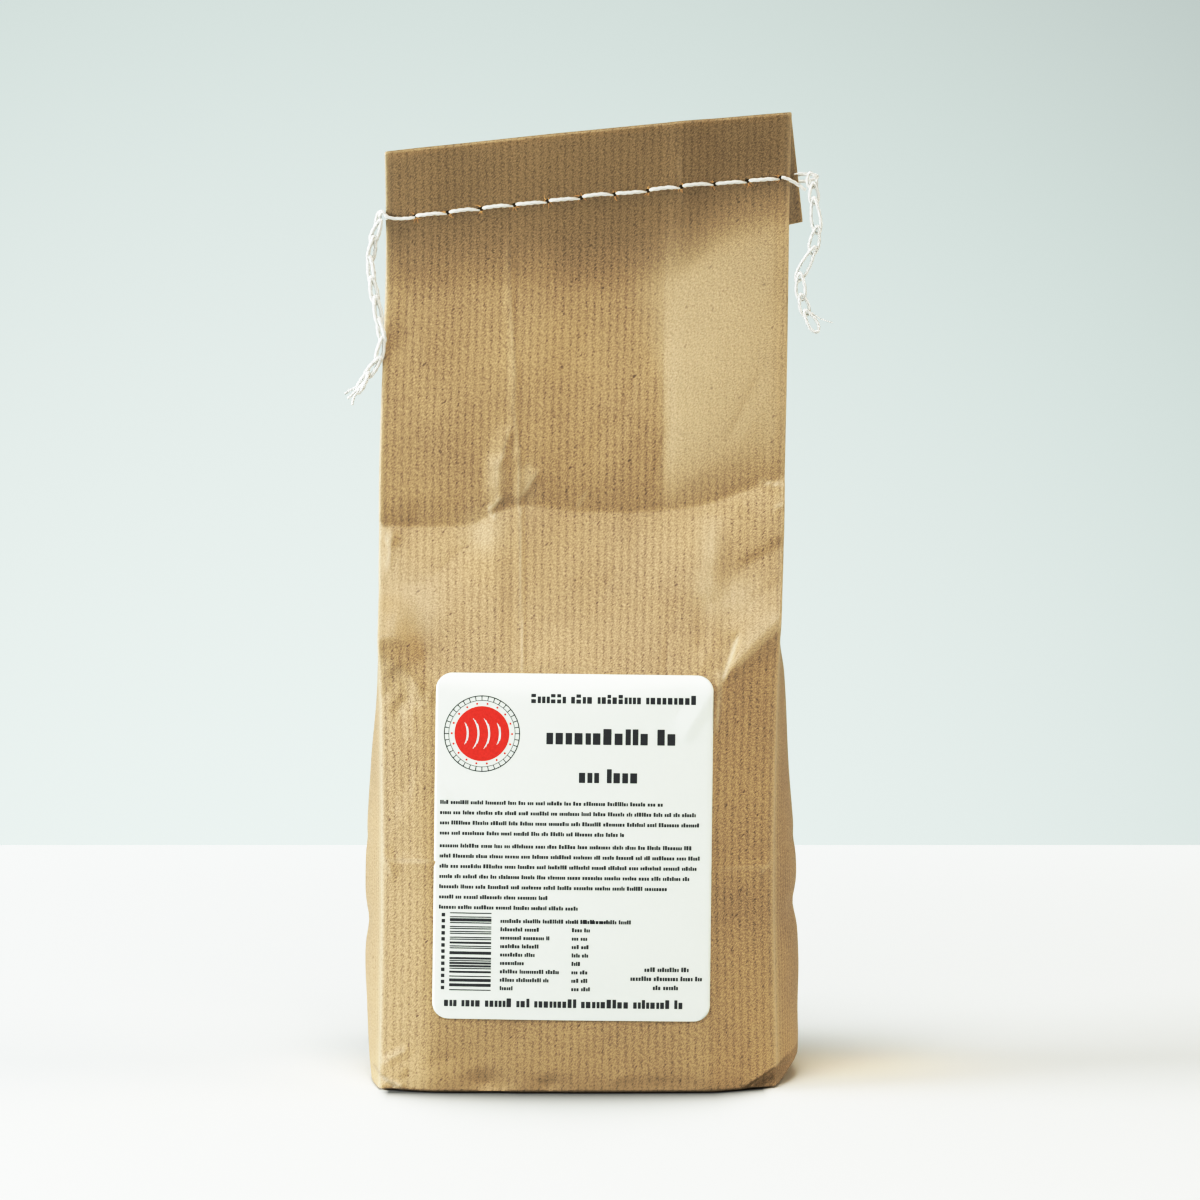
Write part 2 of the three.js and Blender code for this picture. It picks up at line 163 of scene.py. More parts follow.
# Creases of the front: start, end, rise, and the widths of the sides left and right of the line
FRONT_CREASES = [
    # the inner fold of the left gusset shows through the neck as a thin upright ridge
    ((-21.9, 250), (-21.4, 228), 0.22, 1.6, 2.2),
    ((-21.6, 236), (-19.8, 206), 0.3, 1.3, 2.0),
    ((-20.3, 197), (-19.7, 212), 0.32, 2.2, 1.3),
    ((-18.7, 171.5), (-18.4, 187), 0.42, 2.4, 1.2),
    ((-18.4, 183), (-20.2, 199), 0.34, 2.2, 1.3),
    # crumpled foot of that ridge, above the valley
    ((-24.4, 171), (-24.1, 185), 0.8, 4.8, 4.4),
    ((-24.4, 181), (-21.4, 193.5), 0.6, 4.6, 2.2),
    ((-19.2, 171), (-12.6, 180.5), 0.62, 4.4, 1.8),
    ((-23.2, 173), (-27.4, 168.4), 0.5, 1.1, 1.3),
    ((-27.6, 170.2), (-25.2, 165.6), 0.4, 1.0, 1.1),
    ((-18.9, 172.6), (-17.9, 166), 0.35, 0.9, 1.1),
    # below the valley: a flat turned to the right, then a thin ridge
    ((-24.0, 126), (-26.0, 173), 0.62, 9, 5.4),
    ((-17.6, 136), (-18.4, 171), 0.34, 2.6, 1.0),
    ((-16.8, 116), (-17.5, 139), 0.26, 1.6, 1.0),
    ((-1.6, 169), (1.6, 174.4), 0.16, 0.8, 0.8),
    # right of the right gusset's inner fold
    ((38.4, 142), (39.6, 166), 0.6, 10, 5),
    ((45.8, 132), (40.2, 117), -1.3, 1.0, 7),
    ((52.6, 177), (62.5, 175.6), 0.45, 1.2, 2.6),
    ((56, 168.4), (63, 172), 0.4, 1.0, 1.1),
    ((30, 258), (28.6, 274), 0.12, 1.0, 1.0),
    # the ridge that falls from the right edge to the corner of the label, and on down its side
    ((38.6, 117.6), (66, 139.6), 1.5, 11, 2.6),
    ((39.2, 104), (40.4, 121.5), 0.7, 1.5, 5),
    ((46, 151), (63, 160.5), -0.6, 2.5, 7),
    # left edge, under the valley
    ((-62, 169), (-55.6, 158), 0.7, 5, 2.2),
    ((-56.4, 163.5), (-57.4, 150), 0.5, 2.4, 1.6),
    # where the mix ends inside: a step in the front beside the label, at the left and the right
    ((-60, 66.2), (-40.8, 66.8), 0.42, 2.2, 9),
    ((39.5, 64.5), (58, 64.2), 0.3, 2.2, 7),
    ((51.4, 62.2), (58.5, 68.6), 0.5, 1.6, 3.6),
    ((-58.6, 70.4), (-54.8, 61.6), 0.4, 3.4, 1.6),
    # bottom left corner
    ((-61, 6.2), (-52.6, 0.4), -1.3, 0.9, 2.6),
    ((-57.6, 3.4), (-51.2, 1.1), 0.7, 1.2, 2.4),
    ((-59.6, 8.4), (-50.5, 5), 0.4, 2.4, 2.4),
    ((-57.5, 8), (-50, 12.5), 0.3, 1.6, 2.4),
]
CREASE_DEPTH = 1.3

# Soft swellings and dents of the front: middle, reach each way, rise
FRONT_BUMPS = [
    # the corners of the shoulder, and the left edge under the fold
    ((-46, 138), (16, 9), 1.9), ((-58, 144), (7, 4), -1.4), ((-62, 232), (20, 40), -2),
    ((44, 148), (7, 6), -0.8),
    # the neck
    ((57, 186), (12, 12), -0.9), ((-50, 182), (14, 10), -0.7), ((38, 214), (14, 26), 0.6),
    ((-38, 192), (8, 18), 0.9), ((14, 188), (9, 15), 0.8), ((2, 214), (12, 20), -0.5),
    ((-44, 222), (12, 13), 0.6),
    # under the valley
    ((-3, 148), (9, 14), 0.7), ((26, 142), (10, 14), 0.7),
    # dents along the foot
    ((-27, 3.4), (6, 3.2), -1.1), ((-9, 2.6), (4, 2.4), -0.7), ((24, 2.4), (14, 2.0), -0.3),
    ((-31, 9), (7, 5), -0.5),
]


def scattered(seed, count, x_range, z_range, length, rise, lean):
    """Small creases at random places in a field, leaning by about the angle lean from upright."""
    rng = np.random.default_rng(seed)
    rows = []
    for _ in range(count):
        middle = np.array([rng.uniform(*x_range), rng.uniform(*z_range)])
        angle = lean + rng.normal(0, 0.6)
        half = rng.uniform(*length) / 2 * np.array([np.sin(angle), np.cos(angle)])
        widths = rng.uniform(1.4, 4.5, 2)
        rows.append((middle - half, middle + half, rng.uniform(*rise) * rng.choice([-1, 1]), *widths))
    return rows


SMALL_CREASES = [
    *scattered(3, 16, (-58, -42), (111, 127), (4, 10), (0.12, 0.3), 0.6),
    *scattered(4, 12, (-57, -43), (76, 112), (5, 14), (0.08, 0.2), 0.2),
    *scattered(5, 14, (-55, 58), (126, 166), (8, 22), (0.08, 0.22), 0.1),
    *scattered(6, 12, (-55, 60), (178, 236), (10, 30), (0.06, 0.16), 0.1),
    *scattered(7, 8, (41, 56), (20, 100), (8, 22), (0.08, 0.2), 0.1),
    *scattered(8, 12, (-52, 52), (1, 18), (4, 12), (0.08, 0.24), 1.2),
]


def neck_relief(x, z):
    """The gussets' inner folds show through the neck: the front sinks towards a line, right of it rises by a
    slope and an exponential step, and has a soft ridge at the left."""
    right = np.maximum(x - RIGHT_TRACE, 0)
    sharp = 0.5 - 0.3 * step(196, 236, z)
    fall = 0.055 * np.clip(x + 10, 0, RIGHT_TRACE + 10)
    trace = 0.08 * right + sharp * (1 - np.exp(-right / 3)) - fall
    left_edge = 0.8 * step(-24, -60, x)
    ridge = step(120, 148, z) * (1 - step(206, 243, z)) * bell(x, -19, 13)
    return step(140, 172, z) * (trace - left_edge) + 0.9 * ridge


def shoulder_ledge(x, z):
    """Ledge at the shoulder's left corner. Its brow is a parabola, above which it falls exponentially, and
    faster below."""
    brow = 131.9 - np.minimum(((x + 55.2) / 3.6) ** 2, 9)
    over, under = np.maximum(z - brow, 0), np.maximum(brow - z, 0)
    return 6 * np.exp(-over / 10 - (under / 9) ** 1.3) * (1 - step(-56, -44, x))


def corner_tuck(x, z):
    """Tuck at the foot's right corner: the paper is sunk below a line that climbs to the right, and has a
    low lip along it that fades exponentially upwards."""
    fold = np.maximum(TUCK_SLOPE * (x - TUCK_START), 0.01)
    below = np.maximum(fold - z, 0)
    sunk = TUCK_DEPTH * (1 - np.exp(-below / 0.5)) * step(46, 51, x) * np.clip(z / fold, 0.1, 1)
    return 0.8 * np.exp(-np.maximum(z - fold, 0) / 2) * step(46, 50, x) * (z >= fold) - sunk


def relief(x, z):
    """Folds and creases of the front, in millimetres towards the viewer: the sum of the neck's relief, the
    ledge, the tuck, the swellings and the creases."""
    total = neck_relief(x, z) + shoulder_ledge(x, z) + corner_tuck(x, z)
    for row in FRONT_BUMPS:
        total = total + bump(x, z, *row)
    for row in FRONT_CREASES + SMALL_CREASES:
        total = total + CREASE_DEPTH * crease(x, z, *row)
    return total


def front(x, level, creased=1.0):
    """Distance of the front from the middle. The body is the least of the swelled front, two upright
    facets and the sloping shoulder. The neck rises from the valley crease and leans forward above the
    flap's lower edge."""
    z = level_z(x, level)
    body = along(FRONT_BODY, level) - BELLY * (x / 56) ** 2 * (1 - step(SHOULDER, 150, level)) + 0.4
    low = soft_min(body, body - LEFT_FACET[1] * (LEFT_FACET[0] - x), 1)
    turn = RIGHT_FACET[1] * (RIGHT_FACET_TURN[0] + RIGHT_FACET_TURN[1] * step(40, 105, level))
    low = soft_min(low, body - turn * (x - RIGHT_FACET[0]), 1)
    low = soft_min(low, along(FRONT_SHOULDER, level), 1)
    swell = 1 - np.exp(-np.maximum(level - VALLEY, 0) / along(NECK_REACH, x))
    neck = VALLEY_FRONT + along(NECK_SWELL, x) * swell
    over = np.maximum(z - along(TOP_BEND, x), 0)
    neck = neck - NECK_LEAN * (np.maximum(level - VALLEY - 8, 0) - over)
    neck = neck + TOP_LEAN * (over - 8 * (1 - np.exp(-over / 8)))
    return np.where(level < VALLEY, low, neck) + creased * relief(x, z)


# Creases of the back, whose x runs the same way as the front's
BACK_CREASES = [
    ((-44, 100), (-62, 150), 1.0, 9, 5),
    ((43, 98), (62, 148), 1.1, 5, 9),
    ((-30, 132), (24, 127), 0.8, 8, 12),
    ((22, 132), (58, 150), 0.7, 9, 5),
    ((-20, 190), (-24, 238), 0.4, 4, 3),
    ((21, 178), (23, 240), 0.4, 3, 4),
    ((-56, 68), (56, 66), 0.35, 3, 9),
    *scattered(21, 18, (-56, 56), (112, 232), (10, 34), (0.15, 0.5), 0.2),
    *scattered(22, 16, (-54, 54), (4, 110), (8, 26), (0.1, 0.35), 0.4),
]
BACK_SEAM = -36.0


def back(x, level):
    """Distance of the back from the middle: the swelled body with upright facets, then a panel drawn
    straight to the neck with a slight belly, then the pressed neck. The tube's glued seam runs down it."""
    edge = flap_edge(x)
    z = level_z(x, level)
    body = along(BACK_BODY, level) - 1.4 * (x / 56) ** 2
    slope = BACK_FACET[1] * (1 - step(SHOULDER, VALLEY, level))
    low = soft_min(body, body - slope * (np.abs(x) - BACK_FACET[0]), 1)
    t = np.clip((level - BACK_SHOULDER) / (edge - BACK_SHOULDER), 0, 1)
    drawn = low + (2 * PLY - front(x, edge) - low) * t + 3 * np.sin(np.pi * t)
    folds = 0.3 * np.clip((BACK_SEAM - x) / 0.8, 0, 1) * step(-56, -42, x)
    for row in BACK_CREASES:
        folds = folds + crease(x, z, *row)
    drawn = drawn + folds * (1 - step(-34, -14, level - edge))
    pressed = PLY * (1 + np.exp(-np.maximum(level - edge, 0) / 6)) - front(x, level)
    return np.where(level < edge, drawn, pressed)


EDGE_STEPS = np.array([0.25, 0.6, 1.05])
PLEATS = 30  # across a gusset
half_panel = np.concatenate([[0], EDGE_STEPS, np.linspace(1.75, PANEL_WIDTH / 2, 82)])
u = np.concatenate([half_panel, PANEL_WIDTH - half_panel[-2:0:-1]]) / PANEL_WIDTH
q = np.arange(PLEATS) / PLEATS
TUBE_WIDTH = 2 * (PANEL_WIDTH + GUSSET_WIDTH)
PAPER = np.concatenate([
    u * PANEL_WIDTH,
    PANEL_WIDTH + q * GUSSET_WIDTH,
    PANEL_WIDTH + GUSSET_WIDTH + u * PANEL_WIDTH,
    2 * PANEL_WIDTH + GUSSET_WIDTH + q * GUSSET_WIDTH,
    [TUBE_WIDTH],
])
BEND_RADIUS = PLY + FLAP_GAP / 2
BEND = FOLD - BEND_RADIUS
LEVELS = np.concatenate([
    np.arange(BASE_LIFT, 14, 0.55), np.arange(14, 60, 2.3), np.arange(60, 72, 1.1), np.arange(72, 110, 2.2),
    np.arange(110, 196, 1.0), np.linspace(196, BEND, 50),
])


def roll(gap, depth):
    """Radius of the rolled edge, and how far the panel falls back at a gap from the edge."""
    radius = np.minimum(EDGE_ROLL, 0.4 * depth)
    inside = radius - np.clip(gap, 0, radius)
    return radius, radius - np.sqrt(radius**2 - inside**2)


def gusset(crease_x, swell, side, share, level):
    """Points of a gusset at a share of its width, 0 at the front and 1 at the back. It swells outwards in
    the body. In the neck it folds inwards, as deep as its width leaves room for, between the front and
    the back, and is pressed flat behind the flap."""
    x = crease_x(level)
    depth = front(x, level) + back(x, level)
    radius, _ = roll(0, depth)
    fold = np.sqrt(np.maximum(0, (GUSSET_WIDTH / 2) ** 2 - depth**2 / 4)) * step(SHOULDER, VALLEY, level)
    inner = 1 - np.abs(2 * share - 1)
    dents = 1 - 0.16 * bell(level, 49 + 6 * side * share, 5)
    dents = dents + 0.05 * bell(level, 32, 9) - 0.05 * bell(level, 71, 3)
    middle = 0.5 * bell(share, 0.5, 0.03) * (1 - step(100, 130, level))
    reach = 4 * along(swell, level) * dents * share * (1 - share) - fold * inner - middle
    between = x + side * np.minimum(reach, 0) * step(VALLEY, 205, level)
    near, far = -front(between, level), back(between, level)
    pressed = step(flap_edge(x) - 8, flap_edge(x) + 2, level)
    gap = 0.5 * inner * (1 - pressed) + pressed * (0.38 * (1 - np.exp(-inner / 0.03)) + 0.12 * inner)
    room = far - near - 2 * radius
    y = np.where(share < 0.5, near + radius + room * gap, far - radius - room * gap)
    return x + side * reach, y


def wall_rings(level):
    """Rings round the bag at each level: front to the right, right gusset, back to the left, left gusset."""
    level = level[:, None]
    xl, xr = left_crease(level), right_crease(level)
    gap = np.minimum(u, 1 - u) * PANEL_WIDTH
    across = xl + (xr - xl) * u
    back_across = xr + (xl - xr) * u
    _, fall = roll(gap, front(across, level) + back(across, level))
    _, back_fall = roll(gap, front(back_across, level) + back(back_across, level))
    parts = [
        (across, fall - front(across, level)),
        gusset(right_crease, RIGHT_SWELL, 1, q[None, :], level),
        (back_across, back(back_across, level) - back_fall),
        gusset(left_crease, LEFT_SWELL, -1, 1 - q[None, :], level),
    ]
    x = np.concatenate([p[0] for p in parts], 1)
    y = np.concatenate([p[1] for p in parts], 1)
    return np.stack([x, y, level_z(x, level)], -1)


def flap_point(x0, down, off):
    """Point of the flap, down from the fold along it and off its inner face. The flap drifts to the right,
    lies against the back and flares away from it below the seam."""
    x = x0 + FLAP_DRIFT * down
    z = BEND + FOLD_SLOPE * x0 - down * np.sqrt(1 - FLAP_DRIFT**2)
    flare = 0.05 * np.maximum(0, down - 18) ** 1.3
    return np.stack([x, back(x, z - FOLD_SLOPE * x) + FLAP_GAP + flare + off, z], -1)


def bag_rings():
    """All rings: the base from its middle outwards, the walls, the turn over the top fold, the flap, and a
    last ring that closes the mouth halfway between the sheets."""
    walls = wall_rings(LEVELS)
    base = walls[0] * np.array(BASE_SHARES)[:, None, None]
    base[:, :, 2] = BASE_LIFT * np.array(BASE_RISE)[:, None]
    x0 = walls[-1, :, 0]
    behind = np.clip(walls[-1, :, 1] + front(x0, BEND), 0, PLY)
    turn = np.linspace(0, np.pi, 9)[1:, None]
    y = BEND_RADIUS - front(x0, BEND)
    radius = BEND_RADIUS - behind
    over = np.stack(np.broadcast_arrays(
        x0, y - radius * np.cos(turn), BEND + FOLD_SLOPE * x0 + radius * np.sin(turn)), -1)
    share = np.linspace(0, 1, 20)[1:, None]
    down = share * (MOUTH_HEIGHT - FOLD - FOLD_SLOPE * x0)
    opening = 1 + 0.8 * np.maximum(0, share - 0.5)
    flap = flap_point(x0, down, (PLY - behind) * opening)
    mouth = flap_point(x0, down[-1], PLY / 2 * opening[-1])
    return np.concatenate([base, walls, over, flap, mouth[None]])


def make_piece(name, points, faces, maps=None, map_name="paper"):
    """Mesh object from points in millimetres and arrays of corners. maps holds two numbers a corner. Points
    that no face uses are left out."""
    counts = [f.shape[1] for f in faces for _ in range(len(f))]
    corners = np.concatenate([f.ravel() for f in faces])
    used, corners = np.unique(corners, return_inverse=True)
    rows = np.split(corners, np.cumsum(counts)[:-1])
    mesh = bpy.data.meshes.new(name)
    places = np.asarray(points).reshape(-1, 3)[used] * MM
    mesh.from_pydata(places.tolist(), [], [row.tolist() for row in rows])
    if maps is not None:
        layer = mesh.uv_layers.new(name=map_name)
        layer.uv.foreach_set("vector", np.asarray(maps, np.float32).ravel())
    mesh.shade_smooth()
    piece = bpy.data.objects.new(name, mesh)
    scene.collection.objects.link(piece)
    return piece


def four_corners(grid, axis=-1):
    """The four corners of each cell of a grid, stacked on an axis. Its first two axes are its rows and its
    columns, and a cell faces out where the rows go up and the columns go right."""
    return np.stack([grid[:-1, :-1], grid[:-1, 1:], grid[1:, 1:], grid[1:, :-1]], axis)


def grid_faces(rows, columns):
    return four_corners(np.arange(rows * columns).reshape(rows, columns)).reshape(-1, 4)


def run_along(points, axis=0):
    """Distance of each point from the first, along the line that they make on an axis."""
    steps = np.linalg.norm(np.diff(points, axis=axis), axis=-1)
    return np.concatenate([0 * np.take(steps, [0], axis), np.cumsum(steps, axis)], axis)


def make_bag():
    rings = bag_rings()
    rows, columns = rings.shape[:2]
    climb = run_along(rings)
    climb -= climb[BASE_RINGS]
    index = np.arange(rows * columns).reshape(rows, columns)
    opposite = (columns - PLEATS - np.arange(columns)) % columns
    index[-1] = np.minimum(index[-1], index[-1][opposite])
    wrapped = np.concatenate([index, index[:, :1]], 1)
    walls = four_corners(wrapped).reshape(-1, 4)
    across = np.broadcast_to(PAPER, (rows, columns + 1))
    up = np.concatenate([climb, climb[:, :1]], 1)
    paper = np.stack([across, up], -1)
    maps = four_corners(paper, -2).reshape(-1, 4, 2)
    last = walls[-columns:]
    whole = np.concatenate([np.ones(len(walls) - columns, bool), last[:, 2] != last[:, 3]])
    fan = np.stack([np.full(columns, rows * columns), np.roll(index[0], -1), index[0]], -1)
    points = np.concatenate([rings.reshape(-1, 3), [[0, 0, 0]]])
    all_maps = np.concatenate([maps[whole].reshape(-1, 2), np.zeros((3 * columns, 2))])
    return make_piece("paper_bag", points, [walls[whole], fan], all_maps)


def wear_and_highlight_lines(x, z):
    """How pale the front is painted, from 0 to 1: its sharpest creases partly as wear and partly as painted
    highlights on ridges too thin for the mesh, and its upright folds are rubbed pale.
    """
    wear_and_highlight = 0.0
    for start, end, rise, left, right in FRONT_CREASES:
        narrow = min(left, right)
        if narrow < 2.3:
            wear_and_highlight = np.maximum(wear_and_highlight, crease(x, z, start, end, min(1, 1.6 * abs(rise) / narrow), 0.75, 0.75))
    level = z - FOLD_SLOPE * step(SHOULDER, VALLEY, z) * x
    gap = np.minimum(x - left_crease(level), right_crease(level) - x)
    return np.maximum(wear_and_highlight, 0.7 * np.exp(-np.abs(gap) / 0.7))


# Spots of painted sheen, where the ribs fade and the paper is painted paler: middle and reach each way
PAINTED_SHEEN_SPOTS = [
    ((-49, 141), (8, 9)), ((-58, 154), (4, 8)), ((45, 143), (8, 7)), ((-52, 134), (7, 4)),
    ((-25, 178), (2.6, 8)), ((-16, 176), (2.5, 6)), ((-29, 162), (6, 6)), ((38, 158), (3.5, 8)),
    ((36.5, 145), (4, 6)),
]


def painted_sheen_places(x, z):
    """How much painted sheen the front has, from 0 to 1: the ribs fade and the paper is painted paler where
    it would catch the light's sheen, on the right of the neck, on a strip on the ridge beside the label, and
    on the spots above."""
    high = np.maximum(z - 205, 0)
    smooth = step(22 - 0.4 * high, 27 + 0.15 * high, x) * (1 - step(54, 63, x))
    smooth = smooth * step(-8, 14, z - 173 - 0.35 * (x - 25)) * (1 - step(226, 252, z - 0.3 * x))
    smooth = smooth + crease(x, z, (44, 121.5), (60, 135.6), 1, 8, 0.6, 0.1)
    for at, size in PAINTED_SHEEN_SPOTS:
        smooth = smooth + bump(x, z, at, size, 0.8)
    return np.clip(smooth, 0, 1)


def tucked(x, z):
    """1 in the tuck at the foot's right corner, else 0, with a soft border."""
    return step(-0.2, 0.9, TUCK_SLOPE * (x - TUCK_START) - z) * step(46, 49, x) * (z < TUCK_TOP)


def painted_shade_and_light_share(x, z):
    """How far the paper is painted darker than in the body, as painted shade: 1 where eight sheets lie close
    above the flap's lower edge, more as painted shadow in the deep cracks at the foot's corners and in the
    tuck, and below 0 in the rest of the foot, which is painted paler as painted light."""
    bend = along(TOP_BEND, x)
    left_crack_shade = crease(x, z, (-61, 6.2), (-53.4, 0.9), 2.2, 0.8, 0.6)
    right_crack_shade = crease(x, z, (46.2, 0.3), (61, 8.3), 1.8, 0.8, 0.6)
    crack_shade = np.maximum(np.maximum(left_crack_shade, right_crack_shade), 0.4 * tucked(x, z))
    return step(bend - 5, bend + 26, z) + crack_shade - 2.2 * np.exp(-z / 17) * (crack_shade < 0.1)


bag = make_bag()
positions = np.empty(3 * len(bag.data.vertices), np.float32)
bag.data.vertices.foreach_get("co", positions)
x, y, z = positions.reshape(-1, 3).T / MM
# Stored on the points for the kraft: pale wear with painted highlights, painted sheen, and painted shade and
# light
for name, share in (("wear_and_highlight", wear_and_highlight_lines(x, z) * (1 - tucked(x, z)) * (y < 0)),
                    ("painted_sheen", painted_sheen_places(x, z) * (y < 0)),
                    ("painted_shade_and_light", np.where((y > 0) & (z < 150), 0, painted_shade_and_light_share(x, z)))):
    bag.data.attributes.new(name, "FLOAT", "POINT").data.foreach_set("value", share.astype(np.float32))


def node(tree, kind, *sources, **settings):
    """Adds a node and feeds its inputs in order, from another node's output or a plain value."""
    made = tree.nodes.new(kind)
    for key, value in settings.items():
        setattr(made, key, value)
    for socket, source in zip(made.inputs, sources):
        if isinstance(source, bpy.types.NodeSocket):
            tree.links.new(source, socket)
        elif source is not None:
            socket.default_value = source
    return made


def math(tree, operation, *sources):
    return node(tree, "ShaderNodeMath", *sources, operation=operation).outputs[0]


def linear(tree, value, factor, offset):
    """value times factor plus offset, each a number or another node's output."""
    return math(tree, "MULTIPLY_ADD", value, factor, offset)


def noise(tree, place, scale, detail, rough=0.5, dimensions="3D"):
    made = node(tree, "ShaderNodeTexNoise", place, None, scale, detail, rough, noise_dimensions=dimensions)
    return made.outputs[0]


def attribute(tree, name):
    return node(tree, "ShaderNodeAttribute", attribute_name=name).outputs["Fac"]


def mix_colors(tree, share, a, b):
    mixed = node(tree, "ShaderNodeMix", data_type="RGBA")
    for socket, source in zip((mixed.inputs[0], mixed.inputs[6], mixed.inputs[7]), (share, a, b)):
        if isinstance(source, bpy.types.NodeSocket):
            tree.links.new(source, socket)
        else:
            socket.default_value = source
    return mixed.outputs[2]


def new_material(name, color, roughness, specular=0.5):
    material = bpy.data.materials.new(name)
    material.use_nodes = True
    shader = material.node_tree.nodes["Principled BSDF"]
    shader.inputs["Base Color"].default_value = (*color, 1)
    shader.inputs["Roughness"].default_value = roughness
    shader.inputs["Specular IOR Level"].default_value = specular
    return material, material.node_tree, shader


def add_grain(tree, shader, scale, detail, first, second):
    """Base colour that runs from the first tone to the second with a fine noise fixed to the object."""
    grain = noise(tree, node(tree, "ShaderNodeTexCoord").outputs["Object"], scale, detail, 0.6)
    tree.links.new(mix_colors(tree, grain, (*first, 1), (*second, 1)), shader.inputs["Base Color"])


def add_bump(tree, shader, height, strength, distance):
    bumped = tree.nodes.new("ShaderNodeBump")
    bumped.inputs["Strength"].default_value = strength
    bumped.inputs["Distance"].default_value = distance
    tree.links.new(height, bumped.inputs["Height"])
    tree.links.new(bumped.outputs[0], shader.inputs["Normal"])


RIB_PITCH = 2.33
DASH_PITCH = 1.3
KRAFT_LIGHT = (0.56, 0.405, 0.218, 1)
KRAFT_DARK = (0.15, 0.092, 0.04, 1)
KRAFT_WEAR_HIGHLIGHT_AND_SHEEN = (0.66, 0.56, 0.4, 1)
KRAFT_SHADED = (0.19, 0.118, 0.02, 1)


def make_kraft():
    """Ribbed kraft: dark upright ribs of short slanting dashes, a fine slanting hatch, fibre speckle, and
    slow drifts of tone. All of it follows the paper map, in millimetres, so it bends with the sheet."""
    material, tree, shader = new_material("kraft_ribbed", (0.5, 0.35, 0.18), 0.5, 0.5)
    place = node(tree, "ShaderNodeUVMap", uv_map="paper").outputs[0]
    split = node(tree, "ShaderNodeSeparateXYZ", place)
    across, up = split.outputs[0], split.outputs[1]
    drift = noise(tree, place, 0.5, 2.0, dimensions="2D")
    jitter = noise(tree, place, 1.3, 1.0, dimensions="2D")
    rib = linear(tree, across, 1 / RIB_PITCH, math(tree, "MULTIPLY", jitter, 0.3))
    wave = math(tree, "COSINE", math(tree, "MULTIPLY", rib, 2 * np.pi))
    column = math(tree, "POWER", linear(tree, wave, 0.5, 0.5), 2.0)
    slant = linear(tree, up, 1 / DASH_PITCH, math(tree, "MULTIPLY", across, -0.75))
    slant = math(tree, "ADD", slant, math(tree, "MULTIPLY", jitter, 1.6))
    dash = linear(tree, math(tree, "COSINE", math(tree, "MULTIPLY", slant, 2 * np.pi)), 0.5, 0.5)
    marks = math(tree, "MULTIPLY", column, linear(tree, math(tree, "POWER", dash, 1.6), 0.92, 0.08))
    turned = node(tree, "ShaderNodeMapping", place, vector_type="TEXTURE")
    turned.inputs["Rotation"].default_value = (0, 0, np.radians(-42))
    turned.inputs["Scale"].default_value = (1, 2.6, 1)
    hatch = noise(tree, turned.outputs[0], 3.3, 1.0, 0.6, "2D")
    speckle = noise(tree, place, 3.6, 2.0, 0.7, "2D")
    fleck = noise(tree, turned.outputs[0], 0.8, 1.0, 0.5, "2D")
    fleck = math(tree, "MULTIPLY", math(tree, "MAXIMUM", math(tree, "SUBTRACT", fleck, 0.77), 0.0), 8.0)
    patch = noise(tree, place, 0.03, 4.0, 0.6, "2D")
    painted_sheen, painted_shade_and_light = attribute(tree, "painted_sheen"), attribute(tree, "painted_shade_and_light")
    dark = math(tree, "MULTIPLY", marks, linear(tree, drift, 0.8, 0.04))
    # Under the painted sheen the ribs fade
    dark = linear(tree, dark, linear(tree, painted_sheen, -0.8, 1.0), 0.33)
    for grain, strength in ((hatch, 1.5), (speckle, 0.9), (patch, 0.4)):
        dark = math(tree, "ADD", dark, linear(tree, grain, strength, -strength / 2))
    # Painted shade: the top band, the cracks and the tuck are painted darker, towards KRAFT_SHADED, and the
    # front of the foot is painted paler
    dark = linear(tree, painted_shade_and_light, 0.12, math(tree, "ADD", dark, fleck))
    tone = mix_colors(tree, dark, KRAFT_LIGHT, KRAFT_DARK)
    tone = mix_colors(tree, math(tree, "MULTIPLY", painted_shade_and_light, 0.4), tone, KRAFT_SHADED)
    # Pale marks: wear and painted highlights along the sharp creases and folds, and painted sheen
    wear_highlight_and_sheen = math(tree, "MULTIPLY", attribute(tree, "wear_and_highlight"), linear(tree, speckle, 1.6, -0.2))
    wear_highlight_and_sheen = linear(tree, painted_sheen, linear(tree, speckle, -0.7, 0.6), wear_highlight_and_sheen)
    tone = mix_colors(tree, wear_highlight_and_sheen, tone, KRAFT_WEAR_HIGHLIGHT_AND_SHEEN)
    tree.links.new(tone, shader.inputs["Base Color"])
    tree.links.new(linear(tree, speckle, 0.3, 0.45), shader.inputs["Roughness"])
    shader.inputs["IOR"].default_value = 1.6
    shader.inputs["Specular IOR Level"].default_value = 0.75
    height = math(tree, "SUBTRACT", math(tree, "MULTIPLY", hatch, 1.4), math(tree, "MULTIPLY", marks, 0.7))
    add_bump(tree, shader, height, 0.5, 0.00012)
    return material


bag.data.materials.append(make_kraft())
bag.data.set_sharp_from_angle(angle=np.radians(70))
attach(bag, "root")
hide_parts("bag")


# The label is a sheet of white self-adhesive paper with round corners, stuck to the front of the body.
# It bridges the fine creases below it, and lifts a little along a fold at its top right corner.
LABEL_WIDTH = 80
LABEL_HEIGHT = 99.6
LABEL_CORNER = 4.6
LABEL_CENTRE = (-2.4, 70.8)
LABEL_TURN = -0.012
LABEL_STANDS = 0.3  # in front of the smooth surface of the bag


def on_label(a, b, off=0.0):
    """Point of the label, a to the right of its middle and b above it, laid on the front of the bag."""
    x = LABEL_CENTRE[0] + a * np.cos(LABEL_TURN) - b * np.sin(LABEL_TURN)
    z = LABEL_CENTRE[1] + a * np.sin(LABEL_TURN) + b * np.cos(LABEL_TURN)
    lift = crease(a, b, (31, 31), (41, 47), 0.5, 5, 3) + crease(a, b, (-41, 17), (-36, 12.5), 0.25, 3, 2)
    return np.stack([x, -front(x, z, 0) - LABEL_STANDS - lift - off, z], -1)


